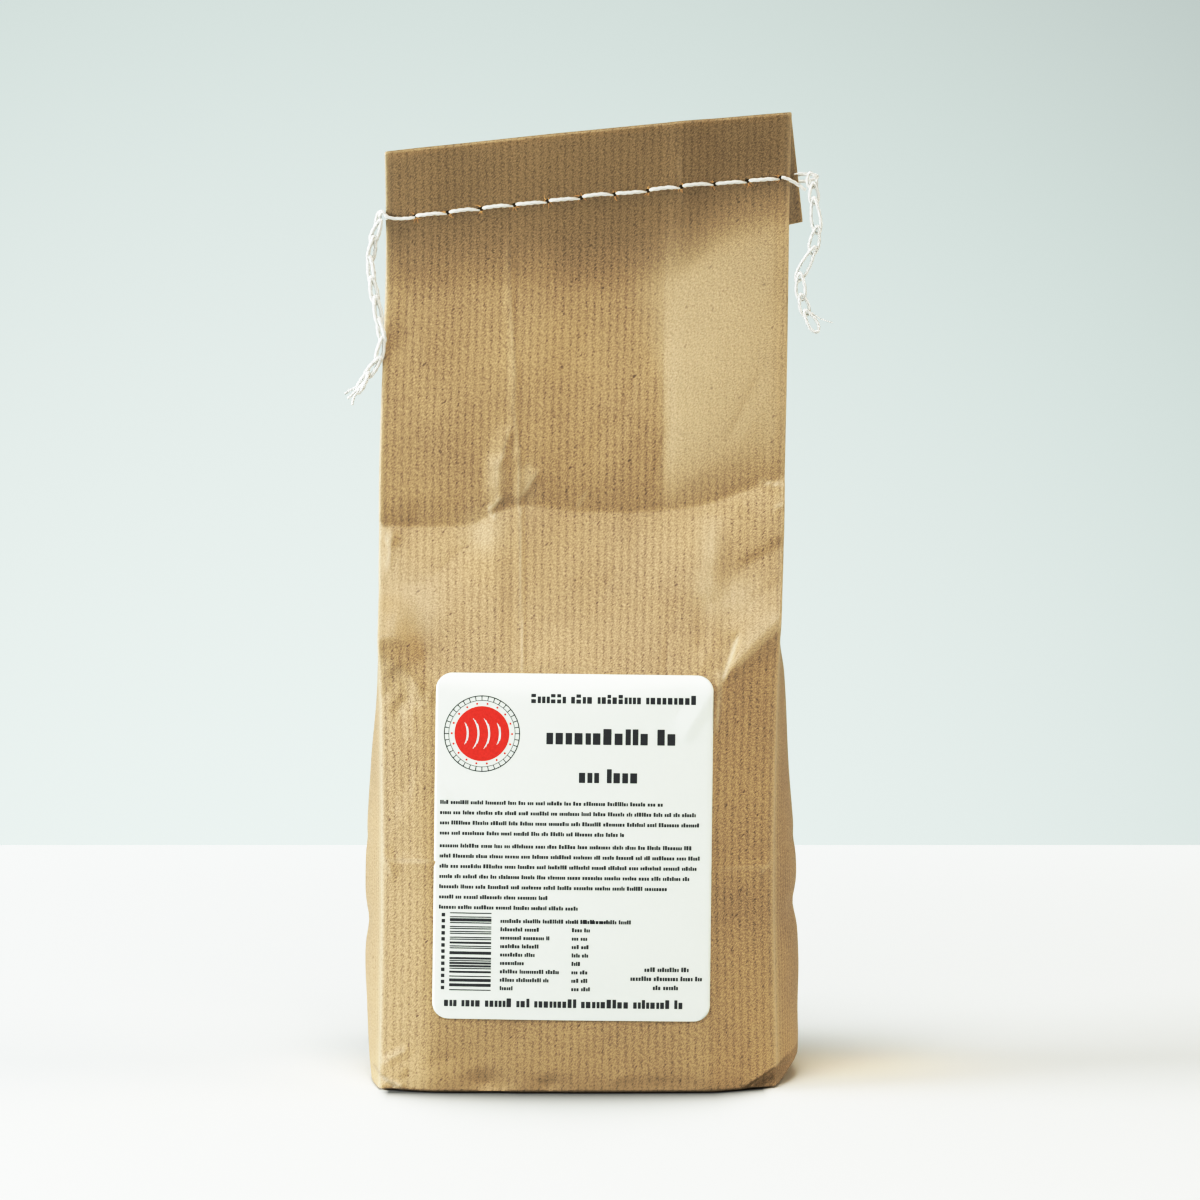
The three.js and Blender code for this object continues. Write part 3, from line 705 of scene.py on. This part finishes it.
def make_label():
    corner = np.linspace(0, np.pi / 2, 9)
    straight = LABEL_HEIGHT / 2 - LABEL_CORNER
    head = straight + LABEL_CORNER * np.sin(corner)
    head_half = LABEL_WIDTH / 2 - LABEL_CORNER * (1 - np.cos(corner))
    between = np.linspace(-straight, straight, 120)[1:-1]
    rows = np.concatenate([-head[::-1], between, head])
    half = np.concatenate([head_half[::-1], 0 * between + LABEL_WIDTH / 2, head_half])
    a = half[:, None] * np.linspace(-1, 1, 101)
    points = on_label(a, rows[:, None] + 0 * a)
    return make_piece("label_sheet", points, [grid_faces(*a.shape)])


def make_label_paper():
    """Coated white paper: nearly smooth, with a faint mottle and a soft gloss."""
    material, tree, shader = new_material("label_paper", (0.84, 0.875, 0.85), 0.4, 0.5)
    place = node(tree, "ShaderNodeTexCoord").outputs["Object"]
    grain = noise(tree, place, 900, 4.0, 0.6)
    cloud = noise(tree, place, 45, 3.0)
    share = linear(tree, grain, 0.3, math(tree, "MULTIPLY", cloud, 0.3))
    tone = mix_colors(tree, share, (0.865, 0.905, 0.845, 1), (0.785, 0.83, 0.77, 1))
    tree.links.new(tone, shader.inputs["Base Color"])
    add_bump(tree, shader, grain, 0.12, 0.00005)
    return material


label = make_label()
label.data.materials.append(make_label_paper())
thick = label.modifiers.new("sheet", "SOLIDIFY")
thick.thickness = 0.00014
thick.offset = -1
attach(label, "root")
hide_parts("label")


# The print is a thin film of black and red ink on the label: lines of words as rows of plain blocks, a
# bar pattern and a round loaf in a ring. Each mark is a patch of the label's own surface, just proud of it.
LETTER_SHARE = 0.72  # of a small letter's room, the rest is the gap after it


def bar(left, right, low, high):
    """Grid over a rectangle of the label, cut every 1.2 mm along its length so that it follows the curve."""
    return np.meshgrid(np.linspace(left, right, int((right - left) / 1.2) + 2), np.linspace(low, high, 2))


def disc(at, inner, outer, start=0.0, stop=2 * np.pi, steps=49):
    """Grid over a ring or a slice of one, from the inner radius to the outer."""
    turn, radius = np.meshgrid(np.linspace(stop, start, steps), np.linspace(inner, outer, 3))
    return at[0] + radius * np.cos(turn), at[1] + radius * np.sin(turn)


def words(rng, left, right, foot, height, counts=(3, 10)):
    """Line of words from left to right on a foot line. A word is a row of blocks as wide as letters, some
    of them taller than the rest."""
    marks = []
    room = 0.8 * height
    while left < right - 2 * room:
        for _ in range(rng.integers(*counts)):
            if left < right - room:
                wide = room * rng.uniform(0.75, 1.25)
                tall = height * (1.38 if rng.random() < 0.28 else 1)
                marks.append(bar(left, left + LETTER_SHARE * wide, foot, foot + tall))
                left += wide
        left += 0.75 * room
    return marks


def print_ink(name, patches, color, stands=0.05):
    """One piece of ink made of all the patches, each a grid of places on the label."""
    points, faces, start = [], [], 0
    for a, b in patches:
        points.append(on_label(a, b, stands).reshape(-1, 3))
        faces.append(grid_faces(*a.shape) + start)
        start += a.size
    ink = make_piece(name, np.concatenate(points), faces)
    material, tree, shader = new_material(name, color, 0.45, 0.5)
    add_grain(tree, shader, 1500, 3.0, [0.7 * c for c in color], [min(1, 1.3 * c + 0.01) for c in color])
    ink.data.materials.append(material)
    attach(ink, "root")


rng = np.random.default_rng(12)
black = words(rng, -12.5, 37, 41.4, 1.9) + words(rng, -8, 31, 29.6, 3.3, (8, 12))
black += words(rng, 1.5, 24.5, 18.6, 2.9, (3, 5))
for row in range(11):
    end = (26, 36, 37.5, 15, 35, 37, 37.5, 34, 28, -7, 2)[row]
    black += words(rng, -38.4, end, 12.0 - 2.95 * row - 0.7 * (row > 3), 0.85)
for row in range(9):
    foot = -22 - 2.42 * row
    black += words(rng, -20.6, (18, -9, -6, -9, -10, -13, -3, -6, -15)[row], foot, 0.85, (6, 12))
    black += words(rng, 0, (12, 6, 5, 6, 5, 4, 5, 5, 6)[row], foot, 0.85, (3, 5))
for left, right, foot in ((21, 34.5, -35.6), (17, 38, -38.2), (23.5, 33, -40.8)):
    black += words(rng, left, right, foot, 0.95)
black += words(rng, -36.6, 33.6, -46.2, 1.8)
at = -41.6
while at < -18.5:
    height = rng.choice([0.28, 0.28, 0.56, 0.84])
    black.append(bar(-35.2, -23.2, at, at + height))
    at += height + rng.choice([0.28, 0.28, 0.56, 0.84])
for row in range(13):
    black.append(bar(-37.6, -36.6, -41.4 + 1.75 * row, -40.4 + 1.75 * row))
LOAF = (-26.6, 32.4)
black += [disc(LOAF, 10.75, 11), disc(LOAF, 9.5, 9.65)]
for turn in np.arange(0, 2 * np.pi, np.pi / 18):
    black.append(disc(LOAF, 9.65, 10.75, turn, turn + 0.022, 2))
red = [disc(LOAF, 0.01, 7.9)]
for turn in np.arange(0, 2 * np.pi, np.pi / 9):
    red.append(disc((LOAF[0] + 8.7 * np.cos(turn), LOAF[1] + 8.7 * np.sin(turn)), 0.01, 0.3, steps=9))
white = []
for shift, reach in ((-4.6, 0.42), (-1.5, 0.6), (1.6, 0.6), (4.7, 0.42)):
    for inner, share in ((7.6, 1), (7.8, 0.86), (8.0, 0.6)):
        turn = reach * share
        white.append(disc((LOAF[0] + shift - 7.4, LOAF[1]), inner, inner + 0.2, -turn, turn, 17))
print_ink("label_print_black", black, (0.035, 0.038, 0.042))
print_ink("label_print_red", red, (0.72, 0.045, 0.025))
print_ink("label_print_white", white, (0.84, 0.87, 0.83), 0.08)


# The seam is a chain stitch in one white cotton thread: single strands between the needle holes in front, and
# a chain of loops along the flap behind. Each hole has a mouth painted dark as painted shade, and torn
# fibres.
SEAM_HEIGHT = 261.1
SEAM_SLOPE = 0.107
FIRST_HOLE = -49.6
STITCH = 9.88
HOLES = FIRST_HOLE + STITCH * np.arange(12)
THREAD = 0.55  # radius


def unit(vectors):
    return vectors / np.linalg.norm(vectors, axis=-1, keepdims=True)


def yarn(paths, radius, away, closed=False, sides=10, lay=2.1):
    """Twisted thread along each path of a batch: at each point a section with three lobes, which turn once
    over the length lay. away is a direction that no path runs along. Returns points, faces and a map
    of millimetres along and turns around."""
    paths = np.asarray(paths, float)
    ahead = unit(np.roll(paths, -1, 1) - np.roll(paths, 1, 1) if closed else np.gradient(paths, axis=1))
    side = unit(np.cross(ahead, away))
    out = np.cross(side, ahead)
    run = run_along(paths, 1)
    if closed:
        whole = run[:, -1:] + np.linalg.norm(paths[:, :1, :] - paths[:, -1:, :], axis=-1)
        run = run / whole * np.maximum(1, np.round(whole / lay)) * lay
    turn = np.linspace(0, 2 * np.pi, sides + 1)[:-1]
    lobes = 1 + 0.14 * np.cos(3 * turn - 2 * np.pi * run[..., None] / lay)
    reach = (np.broadcast_to(radius, run.shape)[..., None] * lobes)[..., None]
    section = np.cos(turn)[:, None] * side[..., None, :] + np.sin(turn)[:, None] * out[..., None, :]
    points = paths[..., None, :] + reach * section
    count, length = run.shape
    index = np.arange(count * length * sides).reshape(count, length, sides)
    rows = np.concatenate([index, index[:, :1]], 1) if closed else index
    rows = np.concatenate([rows, rows[..., :1]], 2)
    faces = four_corners(rows.T).transpose(2, 1, 0, 3)
    far = np.concatenate([run, run[:, :1] + run[:, -1:] + lay / 8], 1) if closed else run
    around = np.arange(sides + 1) / sides
    grid = np.stack(np.broadcast_arrays(far[..., None], around), -1)
    maps = four_corners(grid.transpose(2, 1, 0, 3), -2).transpose(2, 1, 0, 3, 4)
    return points.reshape(-1, 3), faces.reshape(-1, 4), maps.reshape(-1, 4, 2)


def make_thread_piece(name, parts):
    """One piece from several batches of yarn."""
    points = np.concatenate([p for p, _, _ in parts])
    starts = np.cumsum([0] + [len(p) for p, _, _ in parts[:-1]])
    faces = np.concatenate([f + s for (_, f, _), s in zip(parts, starts)])
    maps = np.concatenate([m for _, _, m in parts])
    piece = make_piece(name, points, [faces], maps, "yarn")
    piece.data.materials.append(cotton)
    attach(piece, "root")
    return piece


def make_cotton():
    """Soft white cotton: fine fibres that wind round the thread, matt, with a little sheen."""
    material, tree, shader = new_material("cotton", (0.86, 0.86, 0.82), 0.85, 0.2)
    place = node(tree, "ShaderNodeUVMap", uv_map="yarn").outputs[0]
    split = node(tree, "ShaderNodeSeparateXYZ", place)
    wind = linear(tree, split.outputs[0], 0.48, split.outputs[1])
    fibres = node(tree, "ShaderNodeCombineXYZ", math(tree, "MULTIPLY", wind, 9.0), split.outputs[0])
    shades = noise(tree, fibres.outputs[0], 2.4, 3.0, 0.6, "2D")
    tone = mix_colors(tree, shades, (0.93, 0.93, 0.9, 1), (0.7, 0.69, 0.63, 1))
    tree.links.new(tone, shader.inputs["Base Color"])
    add_bump(tree, shader, shades, 0.6, 0.00012)
    shader.inputs["Sheen Weight"].default_value = 0.25
    return material


cotton = make_cotton()


def seam_z(x):
    return SEAM_HEIGHT + SEAM_SLOPE * x


def on_front(x, z, off):
    """Point off the front of the neck."""
    level = z - FOLD_SLOPE * x
    return np.stack(np.broadcast_arrays(x, -front(x, level) - off, z), -1)


def front_stitches():
    """Strands between the holes. Each comes out of its left hole blunt, lies in a low arch and tapers into
    the next hole."""
    rng = np.random.default_rng(7)
    t = np.linspace(0, 1, 31)
    x = HOLES[:-1, None] + 0.55 + (STITCH - 0.85) * t
    bow = rng.uniform(-0.3, 0.15, (11, 1)) * np.sin(np.pi * t) + 0.15 - 0.45 * step(0.6, 1, t)
    arch = 0.85 * np.sin(np.pi * np.clip(t * 1.01, 0, 1)) ** 0.3 - 0.3
    paths = on_front(x, seam_z(x) + bow + rng.uniform(-0.12, 0.12, (11, 1)), arch)
    radius = THREAD * (1 - 0.5 * step(0.7, 1, t)) * (1 - 0.25 * (1 - step(0, 0.08, t)))
    return yarn(paths, radius, (0, 0, 1), sides=12)


def loops(middles, ahead, side, out, pitch, width, lift):
    """Closed drop-shaped loop at each place of a chain, from just behind the last loop's head to its own
    head. Its foot dips under that head and its own head rises over the next foot. The pitch and the width
    are one number each, or a column with a row for each loop."""
    w = np.linspace(0, 2 * np.pi, 40, endpoint=False)
    share = (1 - np.cos(w)) / 2
    run = (-0.16 + 1.3 * share) * pitch
    sway = 0.5 * width * np.sin(w) * (0.45 + 0.55 * share**0.8)
    rise = lift * (2 * share**1.5 - 1)
    moves = [way[:, None, :] * np.atleast_2d(size)[..., None]
             for way, size in ((ahead, run), (side, sway), (out, rise))]
    return middles[:, None, :] + moves[0] + moves[1] + moves[2]


def flap_chain():
    """Loops of the chain on the flap, from hole to hole."""
    x0 = HOLES
    down = (BEND + FOLD_SLOPE * x0 - seam_z(x0)) / np.sqrt(1 - FLAP_DRIFT**2)
    here = flap_point(x0 - FLAP_DRIFT * down, down, PLY + 0.75)
    ahead = unit(np.gradient(here, axis=0))
    out = np.broadcast_to([0.0, 1.0, 0.0], here.shape)
    side = np.cross(out, ahead)
    return yarn(loops(here, ahead, side, out, STITCH, 2.6, 0.35), 0.5, out[:, None, :], closed=True)


def strand(points, radius, sides=10):
    """Loose strand on a smooth curve through a few points."""
    points = np.array(points, float)
    place = np.arange(len(points))
    fine = np.linspace(0, len(points) - 1, 12 * len(points))
    path = np.stack([along(np.stack([place, points[:, k]], 1), fine) for k in range(3)], -1)
    return yarn(path[None], radius, (0.2, 0.9, 0.3), sides=sides)


def strand_beside(rows, radius):
    """Loose strand through rows of x, z and distance off the front of the neck. Past the neck's edges the
    front's outermost line goes on."""
    x, z, off = np.array(rows, float).T
    y = on_front(np.clip(x, -57.6, 61.4), z, off)[:, 1]
    return strand(np.stack([x, y, z], -1), radius)


LEFT_STRAND = [(-49.7, 255.5, -0.2), (-50.6, 255.3, 0.5), (-53.5, 255.1, 0.7), (-56.6, 255.3, 0.75),
               (-58.2, 256.1, 0.6), (-59.2, 257.2, 0.1), (-60.4, 256.6, -0.2), (-61, 254.8, 0),
               (-61.4, 252.6, 0.2)]
LEFT_LOOP = [(-57.8, 255, 0.3), (-58.5, 256.6, 0.5), (-59.6, 256.6, 0.4), (-60, 254.8, 0.4),
             (-60.2, 252.4, 0.4)]
RIGHT_STRAND = [(59.4, 267.5, 0.2), (60.4, 267.3, 0.8), (62.4, 266.5, 0.6), (64.6, 265.3, 0),
                (66.6, 264.0, -0.4)]
RIGHT_LOOP = [(63.2, 268.6, -1), (65.2, 268.9, -0.6), (67, 268.2, -0.4), (67.9, 266.6, -0.2),
              (67.4, 264.6, 0)]

seam = make_thread_piece("seam_stitches", [
    front_stitches(), flap_chain(), strand_beside(LEFT_STRAND, 0.5), strand_beside(LEFT_LOOP, 0.45),
    strand_beside(RIGHT_STRAND, 0.5), strand_beside(RIGHT_LOOP, 0.24),
])
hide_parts("seam_thread")


def make_holes():
    """Mouths of the needle holes, painted dark as the shade inside them: small ovals just proud of the paper.
    """
    turn, radius = np.meshgrid(np.linspace(2 * np.pi, 0, 17), np.array([0.02, 0.6, 0.82]))
    rng = np.random.default_rng(2)
    wide = 1 + 0.25 * rng.uniform(-1, 1, (12, 1, 1))
    x = HOLES[:, None, None] + wide * radius * np.cos(turn)
    z = seam_z(HOLES)[:, None, None] + 0.72 * radius * np.sin(turn) + 0.1 * radius * np.cos(turn)
    points = on_front(x, z, 0.05)
    faces = [grid_faces(*turn.shape) + turn.size * k for k in range(12)]
    piece = make_piece("needle_holes", points, faces)
    material, tree, shader = new_material("hole_painted_shade", (0.03, 0.022, 0.014), 0.9, 0.1)
    add_grain(tree, shader, 3000, 2.0, (0.01, 0.008, 0.006), (0.09, 0.06, 0.03))
    piece.data.materials.append(material)
    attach(piece, "root")


def make_fibres():
    """Torn fibres round the holes: short curved splinters of pale paper, seven to a hole."""
    rng = np.random.default_rng(9)
    count = 12 * 7
    hole = np.repeat(HOLES, 7)
    turn = rng.uniform(0, 2 * np.pi, count)
    t = np.linspace(0, 1, 5)
    reach = 0.6 + rng.uniform(0.5, 1.6, (count, 1)) * t
    curl = rng.uniform(-0.5, 0.5, (count, 1)) * t**2
    x = hole[:, None] + 1.15 * reach * np.cos(turn[:, None] + curl)
    z = seam_z(hole)[:, None] + 0.95 * reach * np.sin(turn[:, None] + curl) - 0.25 * t
    paths = on_front(x, z, 0.05 + 0.35 * t * rng.uniform(0.2, 1, (count, 1)))
    points, faces, maps = yarn(paths, 0.17 * (1 - 0.7 * t), (0.1, 1, 0.05), sides=5)
    piece = make_piece("torn_fibres", points, [faces], maps, "yarn")
    material, tree, shader = new_material("torn_kraft", (0.8, 0.52, 0.25), 0.8, 0.2)
    add_grain(tree, shader, 700, 2.0, (0.95, 0.68, 0.36), (0.55, 0.3, 0.11))
    piece.data.materials.append(material)
    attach(piece, "root")


make_holes()
make_fibres()


# The thread runs on past both edges of the bag as a loose chain, cut off a hand's breadth from the
# machine. The left chain is pulled tight like a braid, the right one has open loops.
TAIL_LEFT = [(-60.3, -16.4, 253.6), (-61.9, -15.6, 251.2), (-63.4, -14.8, 247), (-63.9, -14, 240),
             (-62.7, -13.4, 234), (-61.3, -12.8, 227.6), (-60.1, -12.3, 222.6), (-59.8, -12, 217.6),
             (-61, -12, 212.9), (-64.4, -12.4, 208.4), (-68.5, -13, 202.2)]
TAIL_RIGHT = [(69, -17.6, 267.8), (69.9, -17.4, 263), (70, -17, 257.6), (70.6, -16.4, 252),
              (69.8, -15.6, 246.2), (66.6, -14.6, 241.4), (64.6, -14, 236.8), (65.1, -13.6, 231.4),
              (66.9, -13.4, 226), (70.1, -13.6, 221.2)]
LEFT_PITCH = [5.6, 6, 6.2, 6, 6.4, 5.8, 6, 5.6, 5.2]
RIGHT_PITCH = [3.4, 4.7, 8.2, 6.4, 8.8, 6.2, 5, 5.6]
# How far the loops hang to the right of the route, in rows of [distance down it, shift]
LEFT_SHIFT = [[0, 0.4], [8, 1.2], [15, 1.1], [30, 0.5], [42, 0.2], [56, 0.6]]
RIGHT_SHIFT = [[0, -1.4], [12, -1], [26, -1], [32, 0], [50, 0.5]]


def route_of(points):
    """Smooth curve through the points, at even steps, and its length."""
    points = np.array(points, float)
    place = run_along(points)
    fine = np.linspace(0, place[-1], 200)
    curve = np.stack([along(np.stack([place, points[:, k]], 1), fine) for k in range(3)], -1)
    return curve, run_along(curve)


def hanging_chain(points, pitches, shift, width, twist, radius):
    """Loops one after another down a route, each turned about it, one to the left and the next to the
    right."""
    curve, run = route_of(points)
    curve[:, 0] += along(shift, run)
    pitch = np.array(pitches)
    starts = np.cumsum(pitch) - pitch
    place = lambda s: np.stack([np.interp(s, run, curve[:, k]) for k in range(3)], -1)
    here = place(starts)
    ahead = unit(place(starts + 0.9 * pitch) - here)
    side = unit(np.cross(ahead, (0, 1, 0)))
    out = np.cross(side, ahead)
    turn = (twist * np.sin(2.2 * np.arange(len(starts))))[:, None]
    side, out = side * np.cos(turn) + out * np.sin(turn), out * np.cos(turn) - side * np.sin(turn)
    paths = loops(here, ahead, side, out, pitch[:, None], width, 0.42)
    return yarn(paths, radius, out[:, None, :], closed=True)


def declare_tail(points, node_name):
    length = route_of(points)[1][-1]
    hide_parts(node_name)


LEFT_ENDS = [[(-64.4, -12.4, 207.4), (-66.4, -12.6, 205), (-68.2, -12.6, 203.2), (-69.6, -12.4, 201.9)],
             [(-64.8, -12.6, 207), (-66.6, -13.2, 204), (-67.8, -13.6, 202), (-68.2, -13.9, 199.9)],
             [(-64.6, -12.2, 207), (-67, -12.2, 205.4), (-69, -11.9, 204.4), (-70.6, -11.8, 203.4)]]
left_tail = make_thread_piece("left_chain", [
    hanging_chain(TAIL_LEFT, LEFT_PITCH, LEFT_SHIFT, 2.5, 0.6, 0.58),
    *[strand(end, 0.36, 8) for end in LEFT_ENDS],
])
declare_tail(TAIL_LEFT, "tail_left")

RIGHT_END = [(68.4, -13.4, 227.4), (70.2, -13.2, 226), (72.4, -13.4, 225), (74.6, -13.6, 224.4)]
right_tail = make_thread_piece("right_chain", [
    hanging_chain(TAIL_RIGHT, RIGHT_PITCH, RIGHT_SHIFT, 3.5, 0.35, 0.44),
])
loose_end = make_thread_piece("right_loose_end", [strand(RIGHT_END, 0.18, 6)])
declare_tail(TAIL_RIGHT, "tail_right")


# Around the bag: a pale table and backdrop, and soft studio light from the upper left. The eye stands
# level with the middle of the bag, a little to its right, and looks straight at the front.
EYE = (0.0054, -0.9415, 0.142)
FOCAL = 3123 / 1200  # focal length over image width

eye = bpy.data.objects.new("eye", bpy.data.cameras.new("eye"))
eye.data.sensor_width = 36
eye.data.lens = 36 * FOCAL
eye.data.clip_start = 0.05
eye.location = EYE
eye.rotation_euler = (np.pi / 2, 0, 0)
scene.collection.objects.link(eye)
scene.camera = eye

# The photograph's contrast: shadows deepened and highlights rolled off, channel by channel
scene.view_settings.view_transform = "Standard"
scene.view_settings.use_curve_mapping = True
tones = scene.view_settings.curve_mapping
for dark, light in ((0.1, 0.072), (0.2, 0.195), (0.3, 0.37), (0.45, 0.615), (0.62, 0.83), (0.8, 0.95)):
    tones.curves[3].points.new(dark, light)
tones.update()


def stage_plane(name, corners, color):
    """Plane of the stage, with the places on it as node outputs."""
    plane = make_piece(name, np.array(corners, float), [np.array([[0, 1, 2, 3]])])
    material, tree, shader = new_material(name, color, 0.9, 0.1)
    plane.data.materials.append(material)
    place = node(tree, "ShaderNodeSeparateXYZ", node(tree, "ShaderNodeTexCoord").outputs["Object"])
    return tree, shader, *place.outputs


# The painted shade on the table along the foot, in millimetres: the foot's middle, half its width, how far
# forward it stands there, and how far the shade reaches
SHADE_MIDDLE = -1.5
SHADE_HALF = 54
SHADE_FRONT = 43.2
SHADE_REACH = 23.0
SHADE_STRENGTH = 0.84
SHADE_COLOR = (0.02, 0.022, 0.022, 1)
GLEAM_AT = (0.08, 0.01)  # metres
GLEAM_COLOR = (0.9, 0.85, 0.74, 1)
TABLE_COLOR = (0.84, 0.865, 0.855, 1)


def foot_shade(tree, x, y):
    """Share of painted shade, a shadow painted on the table in front of the foot. It falls exponentially with
    the distance from the foot's curved front edge, over a reach that narrows from the middle to the corners."""
    off = math(tree, "ABSOLUTE", linear(tree, x, 1000, -SHADE_MIDDLE))
    aside = math(tree, "MULTIPLY", math(tree, "MAXIMUM", math(tree, "SUBTRACT", off, SHADE_HALF), 0.0), 3.0)
    square = math(tree, "POWER", off, 2.0)
    edge = linear(tree, square, -0.0007, SHADE_FRONT)
    facet = math(tree, "MAXIMUM", linear(tree, x, 440, -16.8), 0.0)
    ahead = math(tree, "SUBTRACT", math(tree, "ADD", math(tree, "MULTIPLY", y, -1000), facet), edge)
    gap = math(tree, "ADD", math(tree, "MAXIMUM", ahead, 0.0), aside)
    reach = math(tree, "MAXIMUM", linear(tree, square, -0.006, SHADE_REACH), 3.0)
    shade = math(tree, "EXPONENT", math(tree, "DIVIDE", math(tree, "MULTIPLY", gap, -1.0), reach))
    return math(tree, "MULTIPLY", shade, SHADE_STRENGTH)


def warm_gleam(tree, x, y):
    """Share of the painted warm light, standing for the light that the bag throws on the table at its right:
    a bell round one place.
    """
    squares = [math(tree, "POWER", math(tree, "SUBTRACT", a, b), 2.0) for a, b in zip((x, y), GLEAM_AT)]
    return math(tree, "EXPONENT", math(tree, "MULTIPLY", math(tree, "ADD", *squares), -700.0))


tree, shader, x, y, _ = stage_plane(
    "table", [(-2500, -1600, 0), (2500, -1600, 0), (2500, 868, 0), (-2500, 868, 0)], (0.85, 0.87, 0.86))
# Painted light: the table glows, more the farther back it lies behind the bag
tree.links.new(math(tree, "MAXIMUM", linear(tree, y, 0.42, -0.01), 0.0), shader.inputs["Emission Strength"])
shader.inputs["Emission Color"].default_value = (0.98, 1, 0.99, 1)
# Painted light: a warm gleam on the table beside the bag
tone = mix_colors(tree, warm_gleam(tree, x, y), TABLE_COLOR, GLEAM_COLOR)
# Painted shadow in front of the foot
tree.links.new(mix_colors(tree, foot_shade(tree, x, y), tone, SHADE_COLOR), shader.inputs["Base Color"])

tree, shader, x, _, z = stage_plane(
    "backdrop", [(-3000, 2200, -900), (3000, 2200, -900), (3000, 2200, 2500), (-3000, 2200, 2500)],
    (0.02, 0.02, 0.02))
# Painted light: the dark backdrop glows, fading upwards and to the sides
level = math(tree, "MULTIPLY", z, linear(tree, z, -0.1, -0.12))
aside = math(tree, "MULTIPLY", x, linear(tree, x, -0.12, -0.08))
glow = math(tree, "ADD", math(tree, "ADD", level, aside), 0.673)
tree.links.new(math(tree, "MAXIMUM", glow, 0.4), shader.inputs["Emission Strength"])
shader.inputs["Emission Color"].default_value = (0.885, 1, 0.96, 1)

scene.world = bpy.data.worlds.new("air")
scene.world.use_nodes = True
scene.world.node_tree.nodes["Background"].inputs[0].default_value = (0.93, 0.97, 1, 1)
scene.world.node_tree.nodes["Background"].inputs[1].default_value = 0.02


def area_light(name, place, target, size, power, color):
    light = bpy.data.objects.new(name, bpy.data.lights.new(name, "AREA"))
    light.data.shape = "RECTANGLE"
    light.data.size, light.data.size_y = size
    light.data.energy = power
    light.data.color = color
    scene.collection.objects.link(light)
    aim = np.array(target) - np.array(place)
    light.location = place
    light.rotation_euler = (np.arctan2(np.hypot(aim[0], aim[1]), -aim[2]), 0, np.arctan2(-aim[0], aim[1]))


area_light("key", (-1.45, -0.28, 0.4), (0, 0, 0.12), (0.9, 0.9), 21, (0.96, 1, 1.04))
area_light("above_front", (-0.1, -0.6, 1.6), (0, 0, 0.12), (0.7, 0.7), 13.5, (1, 1, 0.98))
area_light("front", (0.0, -1.0, 1.05), (0, 0, 0.1), (1.0, 0.8), 2.7, (1, 1, 0.98))
area_light("right_fill", (1.5, -0.2, 0.6), (0, 0, 0.12), (0.9, 0.9), 6.6, (1.14, 1, 0.8))
